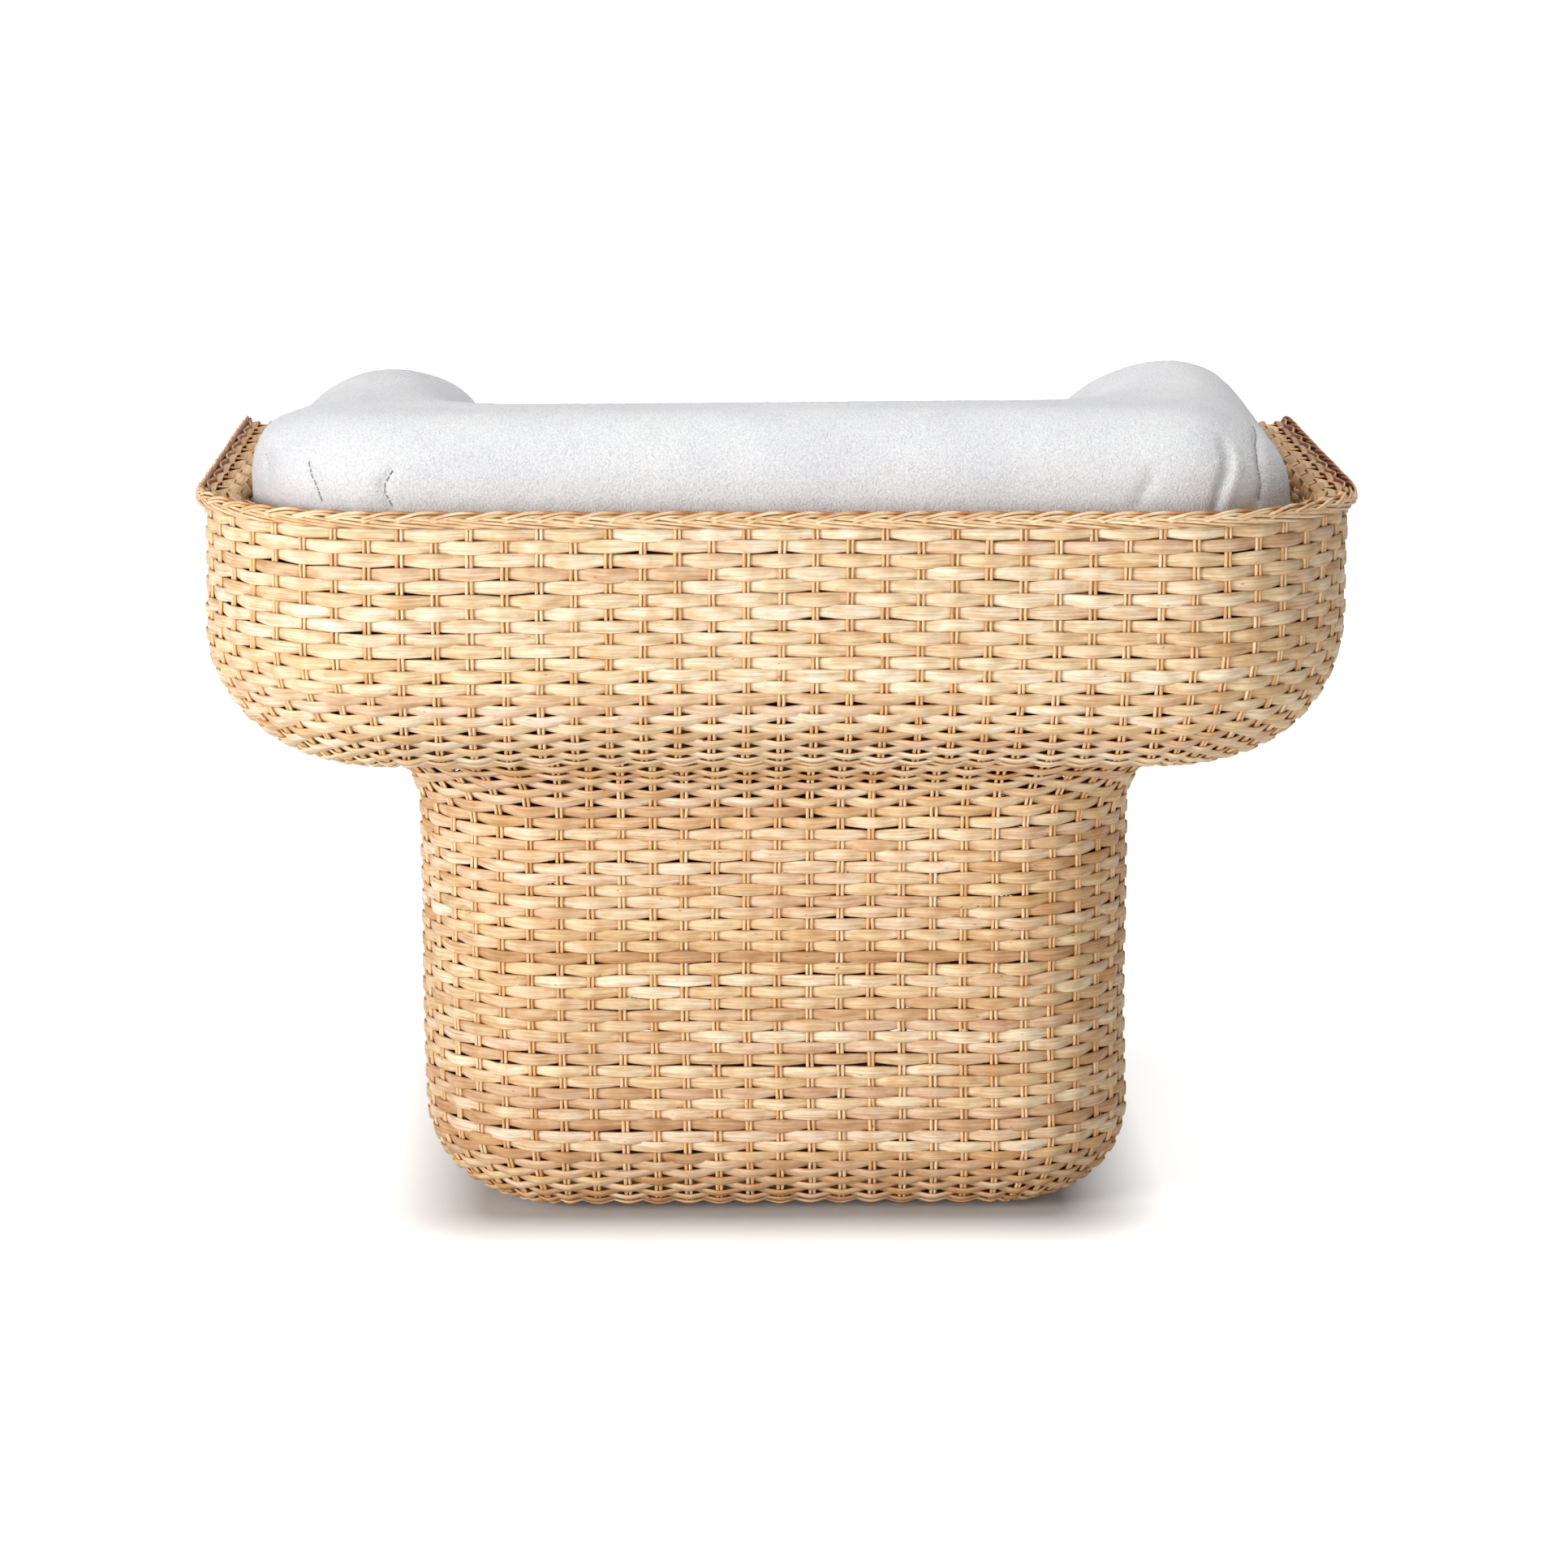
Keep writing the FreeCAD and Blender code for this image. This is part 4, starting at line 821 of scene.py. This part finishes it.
# Where on that way each row lies, in steps of it, and half its width
ROLL_ROWS = ((0, 3.4), (1, 4.8), (2.8, 5.0), (11.6, 5.4), (21.2, 5.4), (30.4, 5.4))


def over_roll(distance, place, lift):
    """Points at a place on the roll's way, lifted off it, with the way that they face."""
    out, up, angle = looked_up(place, np.arange(len(ROLL_WAY)), ROLL_WAY).T
    turn = np.radians(angle)
    path, outward, upward = rim.at(distance, out + lift * np.cos(turn), up + lift * np.sin(turn))
    turn = np.broadcast_to(turn, len(path))[:, None]
    return path, outward * np.cos(turn) + upward * np.sin(turn)


def roll_rows():
    """The rows that roll over the rim pole, from the plait to the lining."""
    rng = np.random.default_rng(41)
    strands = Strands()
    stakes = 2 * round(rim.length / ROLL_STAKES_APART / 2)
    distance = np.linspace(0, rim.length, stakes * 8 + 1)
    u = distance / rim.length * stakes
    for row, (place, half) in enumerate(ROLL_ROWS):
        wave = np.interp(np.mod(u + row, 2), WAVE_PLACE, WAVE, period=2)
        drift = wander(rng, stakes, 0.25)(u)
        swing = ROLL_SWING if place > 3 else 1.4 * min(place, 1)
        path, facing = over_roll(distance, place + drift * (place > 2), swing * wave)
        tone, hue = tones(rng, stakes, row, 0.55, 0.16, 0.25)(u)
        # Painted shade: the rows are painted darker where they dive behind a stake
        painted_lit_share = 0.84 + 0.16 * np.clip(wave + 1, 0, 1)
        width = half + 0.6 * wave
        strands.add(path, facing, width, 1.3, tone, hue, rng.uniform(0, 900), flat=0.6, open_air=painted_lit_share)
    strands.make("rim_roll_rows", lining_cane, ["rim_cap"], slot="rattan_rim")
    pairs = Strands()
    places = np.linspace(0, len(ROLL_WAY) - 1, 24)
    for number in range(stakes):
        for side in (-1, 1):
            where = (number + side * STAKE_APART / 2 / ROLL_STAKES_APART) / stakes * rim.length
            path, facing = over_roll(np.full(len(places), where + rng.normal(0, 0.2)), places, 0.0)
            tone, hue, seed = rng.normal(0.3, 0.13), rng.uniform(0, 0.5), rng.uniform(0, 900)
            # Painted shade: the roll's stakes are drawn at 0.85 painted light
            pairs.add(path, facing, 1.4, 1.3, tone, hue, seed, SIDES_OF_CANE, 1.0, 0.85)
    pairs.make("rim_roll_stakes", stake_cane, ["rim_cap"], GIRTH_OF_CANE, "rattan_rim")


# The lining and the seat floor
LINING_TOP = 598
lining_profile = Profile(
    [(LINING_INSET, LINING_TOP), (LINING_INSET, 560), (LINING_INSET, FLOOR_TOP + LINING_ROUND + 1)]
    + bend((LINING_INSET + LINING_ROUND, FLOOR_TOP + LINING_ROUND), LINING_ROUND, 0, -90, 50)
    + [(LINING_INSET + LINING_ROUND + 12, FLOOR_TOP)],
    -1,
)
lining = Wall("basket_lining", basket_outline, lining_profile, 116)
LINING_RIM = dict(rows=22, stakes=18, reach=140)
# The floor's half width, half depth, the distance between its stakes, and how deep its middle lies
FLOOR_HALF = 326
FLOOR_DEEP = 292
FLOOR_PITCH = 27.0
FLOOR_MIDDLE = FLOOR_TOP - 3.6


def lining_look(_):
    return LINING_WEAVE, (0.5, 0.16, 0.3), 1


def weave_lining():
    rng = np.random.default_rng(53)
    weave_rows(
        "lining_rows", lining, rng, 8.0, 2, BASKET_PITCH, (1.02, 0.04), lining_look, lining_cane, 8,
        LINING_RIM,
    )
    weave_stakes("lining_stakes", lining, rng, lining_profile.length, 9.0, LINING_RIM)


def weave_floor():
    """The seat's floor: straight rows across, over stakes that run from front to back."""
    rng = np.random.default_rng(61)
    rows, stakes = Strands(), Strands()
    count = int(2 * FLOOR_DEEP / BASKET_PITCH)
    x = np.linspace(-FLOOR_HALF, FLOOR_HALF, int(2 * FLOOR_HALF / FLOOR_PITCH * 5))
    u = x / FLOOR_PITCH
    for row in range(count):
        y = -FLOOR_DEEP + (row + 0.5) * 2 * FLOOR_DEEP / count
        wave = np.cos(np.pi * (u + row))
        near = wander(rng, 30, 0.5)(u + 14)
        path = np.stack([x, y + near, FLOOR_MIDDLE + 2.3 * wave], 1)
        tone, hue = tones(rng, 30, row, 0.5, 0.16, 0.5)(u + 20)
        facing = np.tile([0.0, 0.0, 1.0], (len(x), 1))
        rows.add(path, facing, 4.9 + 0.5 * wave, 1.2, tone, hue, rng.uniform(0, 900))
    y = np.linspace(-FLOOR_DEEP, FLOOR_DEEP, 50)
    facing = np.tile([0.0, 0.0, 1.0], (len(y), 1))
    for number in range(-12, 13):
        for side in (-1, 1):
            middle = number * FLOOR_PITCH + side * STAKE_APART / 2
            x = middle + 0.4 * np.sin(y / 50 + rng.uniform(0, 6))
            path = np.stack([x, y, np.full(len(y), FLOOR_MIDDLE)], 1)
            tone, seed = rng.normal(0.5, 0.15), rng.uniform(0, 900)
            stakes.add(path, facing, 1.6, 1.6, tone, 0.2, seed, SIDES_OF_CANE, 1.0)
    rows.make("floor_rows", lining_cane, [lining.node])
    stakes.make("floor_stakes", stake_cane, [lining.node], GIRTH_OF_CANE)


# Cushions
def rows_of(data, key):
    found = np.empty(len(data) * 3, np.float32)
    data.foreach_get(key, found)
    return found.reshape(-1, 3).astype(float)


def places_of(me):
    return rows_of(me.vertices, "co")


def normals_of(me):
    return rows_of(me.vertex_normals, "vector")


def move_to(me, places):
    fill(me.vertices, "co", places)
    me.update()


def applied(obj):
    """Takes the object's modifiers into its mesh."""
    graph = bpy.context.evaluated_depsgraph_get()
    made = bpy.data.meshes.new_from_object(obj.evaluated_get(graph))
    obj.modifiers.clear()
    obj.data = made


def soft_copy(name, body, voxel, replaced):
    """An even mesh of a soft CAD solid, the first of those that it stands for."""
    obj = bpy.data.objects.new(name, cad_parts[replaced[0]].data.copy())
    obj.data.materials.clear()
    bpy.context.scene.collection.objects.link(obj)
    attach(obj, body)
    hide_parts(*replaced)
    remesh = obj.modifiers.new("remesh", "REMESH")
    remesh.mode = "VOXEL"
    remesh.voxel_size = voxel
    applied(obj)
    return obj


CLOTH = dict(
    quality=4, mass=0.3, tension_stiffness=12, compression_stiffness=12, shear_stiffness=6,
    bending_stiffness=0.6, use_pressure=True, uniform_pressure_force=4,
)
CLOTH_FRAMES = 20


def inflate(obj, cap):
    """Blows the cover up as cloth, with a limit on how far a point moves."""
    scene = bpy.context.scene
    cloth = obj.modifiers.new("cloth", "CLOTH")
    for key, value in CLOTH.items():
        setattr(cloth.settings, key, value)
    cloth.settings.effector_weights.gravity = 0
    cloth.point_cache.frame_start = 1
    cloth.point_cache.frame_end = CLOTH_FRAMES
    start = places_of(obj.data)
    for step in range(1, CLOTH_FRAMES + 1):
        scene.frame_set(step)
    graph = bpy.context.evaluated_depsgraph_get()
    swollen = places_of(obj.evaluated_get(graph).data)
    obj.modifiers.clear()
    scene.frame_set(1)
    move = swollen - start
    far = np.linalg.norm(move, axis=1, keepdims=True)
    move_to(obj.data, start + move * np.minimum(1, cap / np.maximum(far, 1e-9)))


def fitted(me, start, normals, swollen, proud, share):
    """Lays the cover along its solid, with a share of its swelling, and no further out than proud."""
    move = swollen - start
    out = (move * normals).sum(1)
    along = move - normals * out[:, None]
    off = np.minimum(proud, (1 - share) * proud + share * out)
    move_to(me, start + normals * off[:, None] + along * share[:, None])


def smoothed(me, rounds):
    """Evens out the mesh, so a clamped part runs smoothly into a free one."""
    edges = np.empty(len(me.edges) * 2, np.int32)
    me.edges.foreach_get("vertices", edges)
    a, b = edges.reshape(-1, 2).T
    places = places_of(me)
    count = np.bincount(np.concatenate([a, b]), minlength=len(places))[:, None]
    for _ in range(rounds):
        total = np.zeros_like(places)
        np.add.at(total, a, places[b])
        np.add.at(total, b, places[a])
        places = 0.5 * places + 0.5 * total / count
    move_to(me, places)


def press_seam(me, seam, depth, width):
    """Presses a line of stitches into a cushion, deepest in its middle."""
    places, normals = places_of(me), normals_of(me)
    parts = [np.linspace(a, b, 12, endpoint=False) for a, b in zip(seam[:-1], seam[1:])]
    line = np.concatenate(parts + [[seam[-1]]]) * MM
    share = np.sin(np.pi * np.clip(np.linspace(0.08, 1.0, len(line)), 0, 0.75)) ** 0.5
    far = np.stack([np.linalg.norm(places - point, axis=1) for point in line])
    press = depth * share[far.argmin(0)] * np.exp(-((far.min(0) / width) ** 2))
    move_to(me, places - normals * press[:, None])


# How far the bolster's top is lifted along x, from the photograph: over its arms and over its back
ARM_LIFT = np.array([
    (-420, -22), (-404, -23), (-390, -18), (-376, -12.5), (-362, -8), (-348, -3.5), (-335, -0.5), (-320, 1),
    (-305, 1.5), (-280, 0), (-250, 1), (-235, 0), (235, 0), (255, -1), (268, -0.5), (280, 0.5), (292, 2.5),
    (306, 5.5), (320, 7.5), (334, 9), (348, 8.5), (362, 7.5), (376, 4.5), (390, -1), (404, -10),
])
BACK_LIFT = np.array([
    (-420, 3), (-408, 3), (-397, 0), (-388, -4), (-376, -7), (-362, -6), (-330, -4), (-250, -4), (-160, -3.3),
    (0, -2), (160, -0.5), (240, -0.5), (330, -1), (380, -4), (420, -6),
])


# How far a cover may stand out of its solid, in metres, and its share of the swelling
PROUD = -0.0006
SEAT_SHARE = 0.3
BOLSTER_SHARE = 0.2
# How far left of its solid the bolster's cover lies, and the furthest left that it reaches, in metres
TO_LEFT = 0.003
FURTHEST_LEFT = -0.4176


def seat_fit(start):
    """How far out each point of the seat's cover may stand, and its share of the swelling."""
    return PROUD, np.full(len(start), SEAT_SHARE)


def bolster_fit(start):
    """The same for the bolster, which is pressed flatter at its two back corners."""
    x, y, z = start.T
    corner = rising(np.abs(x), 0.33, 0.4) * (1 - rising(y, -0.26, -0.14)) * rising(z, 0.56, 0.62)
    proud = PROUD + corner * np.where(x < 0, -0.0025 + 0.006 * rising(z, 0.6, 0.66), -0.0042)
    return proud, BOLSTER_SHARE * (1 - 0.85 * corner * (x < 0))


def lift_bolster(me, start):
    """Shapes the bolster's top, with the right arm plumper than the left, and moves it to the left."""
    places = places_of(me)
    arm = rising(start[:, 1], -0.22, -0.1)
    x = places[:, 0] / MM
    lift = arm * np.interp(x, *ARM_LIFT.T) + (1 - arm) * np.interp(x, *BACK_LIFT.T)
    places[:, 2] += lift * MM * rising(start[:, 2], 0.6, 0.67)
    places[:, 0] = np.maximum(places[:, 0] - TO_LEFT, FURTHEST_LEFT)
    move_to(me, places)


# How far the seat cushion's sides are pulled in between its corners, and its top's edge down, in metres
PULLED_IN = 0.004
PULLED_DOWN = 0.007


def crown_seat(me, _):
    """Crowns the seat cushion's top, and pulls its sides in between the corners."""
    places = places_of(me)
    low, high = places.min(0), places.max(0)
    middle, half = (low + high) / 2, (high - low) / 2
    a, b, up = ((places - middle) / half).T
    edge = 1 - (1 - np.abs(a) ** 3) * (1 - np.abs(b) ** 3)
    places[:, 0] -= PULLED_IN * a * (1 - b**2)
    places[:, 1] -= PULLED_IN * b * (1 - a**2)
    places[:, 2] -= PULLED_DOWN * edge * rising(up, 0, 0.9)
    move_to(me, places)


# The bolster's darts, from the photograph: points in mm, how deep they pull in and how dark they look, which
# sets how thick and close their dark thread is drawn, partly as painted shade.
# A depth below 0 makes a ridge, such as the one beside the fold on the right.
DARTS = (
    ([(379, -265, 662), (377, -309, 654), (377, -327, 641), (379, -335, 625), (377, -340, 614)], 3.6, 1.0),
    ([(347, -341, 659), (349, -349, 649), (349, -357, 638), (343, -365, 626), (339, -369, 612)], 3.6, 0.0),
    ([(355, -338, 655), (357, -346, 645), (356, -353, 636), (350, -361, 624), (346, -365, 612)], -1.1, 0.0),
    ([(288, -371, 642), (288, -375, 634), (282, -377, 626), (276, -379, 615)], 2.4, 0.0),
    ([(-367, -346, 645), (-365, -353, 636), (-360, -360, 626), (-356, -364, 616)], 3.0, 0.8),
    ([(-300, -370, 641), (-306, -375, 632), (-306, -377, 625), (-300, -379, 614)], 3.2, 0.9),
    ([(-403, -308, 645), (-400, -318, 638), (-400, -323, 628)], 1.8, 0.2),
)


DART_WIDTH = 0.0055
LOOP_HEIGHT = 0.00013


def cushions():
    white = boucle_material()
    # Dark grey thread: a real seam thread, coloured dark as painted shade in the darts
    thread = plain_material("seam_thread_painted_shade", (120, 120, 122), (158, 158, 160), 900, 0.9)
    rng = np.random.default_rng(71)
    seat = soft_copy("seat_cushion", "seat_cushion", 0.0065, ["seat_cushion_cover", "seat_cushion_foam"])
    roll = soft_copy("bolster_cushion", "bolster", 0.006, ["bolster_cover", "bolster_filling"])
    for obj, shrink, cap, fit, shape in (
        (seat, 0.011, 0.024, seat_fit, crown_seat),
        (roll, 0.009, 0.026, bolster_fit, lift_bolster),
    ):
        me = obj.data
        start, normals = places_of(me), normals_of(me)
        move_to(me, start - normals * shrink)
        inflate(obj, cap)
        me = obj.data
        fitted(me, start, normals, places_of(me), *fit(start))
        shape(me, start)
        smoothed(me, 4)
        obj.modifiers.new("divide", "SUBSURF").levels = 1
        applied(obj)
    before = tree_of(roll.data)
    for seam, deep, _ in DARTS:
        press_seam(roll.data, seam, deep * MM, DART_WIDTH)
    for obj in (seat, roll):
        me = obj.data
        loops = rng.normal(0, LOOP_HEIGHT, (len(me.vertices), 1))
        move_to(me, places_of(me) + normals_of(me) * loops)
        fill(me.polygons, "use_smooth", np.ones(len(me.polygons)), bool)
        me.materials.clear()
        me.materials.append(white)
    stitches(roll, before, thread)


def tree_of(me):
    return BVHTree.FromPolygons([v.co for v in me.vertices], [p.vertices for p in me.polygons])


def stitches(roll, before, thread):
    """The thread that shows in the darts, in short stitches, coloured dark grey as painted shade in the
    darts.
    """
    rng = np.random.default_rng(73)
    tree = tree_of(roll.data)
    threads = Strands()
    for seam, _, dark in DARTS:
        if not dark:
            continue
        seam = np.array(seam, float)
        along = lengths_along(seam)
        start = 0.0
        while start < along[-1] - 2:
            end = min(start + rng.uniform(3.5, 6.5) * dark, along[-1])
            path, facing = [], []
            for d in np.linspace(start, end, 6):
                point = Vector(looked_up(d, along, seam)) * MM
                near, normal = before.find_nearest(point)[:2]
                hit = tree.ray_cast(near + normal * 0.02, -normal)[0]
                path.append(np.array(hit) / MM + np.array(normal) * 0.15)
                facing.append(np.array(normal))
            path, facing = np.array(path), np.array(facing)
            threads.add(path, facing, 0.3 + 0.5 * dark, 0.35, 0.5, 0.5, 1.0, SIDES_OF_CANE, 1.0)
            start = end + rng.uniform(0.6, 1.6) / dark
    threads.make("bolster_stitches", thread, ["bolster_cover"], 6, "boucle", "bolster")


# Materials for the poles and small parts that keep their CAD shapes
def finish_frame():
    poles = [pole_material(f"rattan_pole_{axis}", number) for number, axis in enumerate("xyz")]
    plastic = plain_material("glide_plastic", (38, 36, 34), (52, 49, 46), 420, 0.5)
    steel = plain_material("screw_steel", (150, 150, 152), (186, 186, 188), 300, 0.32, 1.0, (1, 1, 0.1))
    for name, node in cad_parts.items():
        if "screws" in name:
            material = steel
        elif name.startswith("glide"):
            material = plastic
        elif "rib" in name or "post" in name:
            material = poles[2]
        elif "slat" in name or name in ("rim_hoop", "front_rail"):
            material = poles[0]
        else:
            material = poles[1]
        for holder in node.material_slots:
            holder.material = material


# The camera, fitted to the photograph: its place in metres and its turns in radians
CAMERA_PLACE = (-0.0768, -3.9824, 1.1592)
CAMERA_YAW = 0.02215
CAMERA_PITCH = 0.20904
CAMERA_ROLL = 0.00281
# Its focal length and the photograph's width, both in pixels, and its film's width in mm
FOCAL_PIXELS = 5800
PHOTO_PIXELS = 1932
FILM_WIDTH = 36


def look():
    data = bpy.data.cameras.new("camera")
    data.lens = FOCAL_PIXELS / PHOTO_PIXELS * FILM_WIDTH
    data.sensor_width = FILM_WIDTH
    camera = bpy.data.objects.new("camera", data)
    bpy.context.scene.collection.objects.link(camera)
    sideways = Matrix.Rotation(-CAMERA_YAW, 4, "Z")
    down = Matrix.Rotation(math.pi / 2 - CAMERA_PITCH, 4, "X")
    tilted = Matrix.Rotation(CAMERA_ROLL, 4, "Z")
    camera.matrix_world = Matrix.Translation(CAMERA_PLACE) @ sideways @ down @ tilted
    bpy.context.scene.camera = camera


# The lamps: name, place, the height on the chair that each looks at, width and power
LAMPS = (
    ("key", (-3.45, -3.25, 1.4), 0.45, 1.3, 142),
    ("front", (-0.7, -4.8, 0.62), 0.45, 1.8, 95),
    ("top", (0.4, 0.2, 3.6), 0.5, 2.2, 80),
)
WORLD_LIGHT = 0.19
FLOOR_REACH = 6
# The floor's glow: the half size of the box under the chair that has none, then how far beyond it each
# part of the glow starts and ends, and how strong it is there
NO_GLOW = (0.22, 0.22, 0)
GLOW_NEAR = (0.02, 0.11, 0, 0.76)
GLOW_WIDE = (0.11, 0.6, 0, 0.24)


def lamp(name, place, aim, size, power):
    data = bpy.data.lights.new(name, "AREA")
    data.shape = "DISK"
    data.size = size
    data.energy = power
    obj = bpy.data.objects.new(name, data)
    obj.location = place
    obj.rotation_euler = (Vector((0, 0, aim)) - Vector(place)).to_track_quat("-Z", "Y").to_euler()
    bpy.context.scene.collection.objects.link(obj)


def seen_directly(tree):
    """1 for what the camera sees, straight or in a mirror or glass, and 0 for light on surfaces."""
    rays = add_node(tree, "ShaderNodeLightPath").outputs
    seen = numbers(tree, "MAXIMUM", rays["Is Camera Ray"], rays["Is Glossy Ray"])
    return numbers(tree, "MAXIMUM", seen, rays["Is Transmission Ray"])


def studio():
    scene = bpy.context.scene
    scene.view_settings.view_transform = "Standard"
    world = bpy.data.worlds.new("studio")
    scene.world = world
    world.use_nodes = True
    tree = world.node_tree
    background = tree.nodes["Background"]
    put(tree, background, "Strength", mapped(tree, seen_directly(tree), 0, 1, WORLD_LIGHT, 1))
    put(tree, background, "Color", grey(1))
    for row in LAMPS:
        lamp(*row)
    r = FLOOR_REACH
    me = bpy.data.meshes.new("floor")
    me.from_pydata([(-r, -r, 0), (r, -r, 0), (r, r, 0), (-r, r, 0)], [], [(0, 1, 2, 3)])
    floor = bpy.data.objects.new("studio_floor", me)
    scene.collection.objects.link(floor)
    mat, tree = new_material("studio_floor")
    # Only the camera sees the glow, which whitens the floor where the lamps don't reach
    side = vectors(tree, "ABSOLUTE", object_place(tree))
    beyond = vectors(tree, "MAXIMUM", vectors(tree, "SUBTRACT", side, NO_GLOW))
    far = add_node(tree, "ShaderNodeVectorMath", {0: beyond}, operation="LENGTH").outputs["Value"]
    glow = numbers(tree, "ADD", mapped(tree, far, *GLOW_NEAR), mapped(tree, far, *GLOW_WIDE))
    surface(tree, {
        "Base Color": grey(0.75),
        "Roughness": 0.9,
        "Specular IOR Level": 0.1,
        "Emission Color": grey(1),
        "Emission Strength": numbers(tree, "MULTIPLY", glow, seen_directly(tree)),
    })
    me.materials.append(mat)


weave_basket()
weave_base()
plait_rim()
roll_rows()
weave_lining()
weave_floor()
cushions()
finish_frame()
look()
studio()
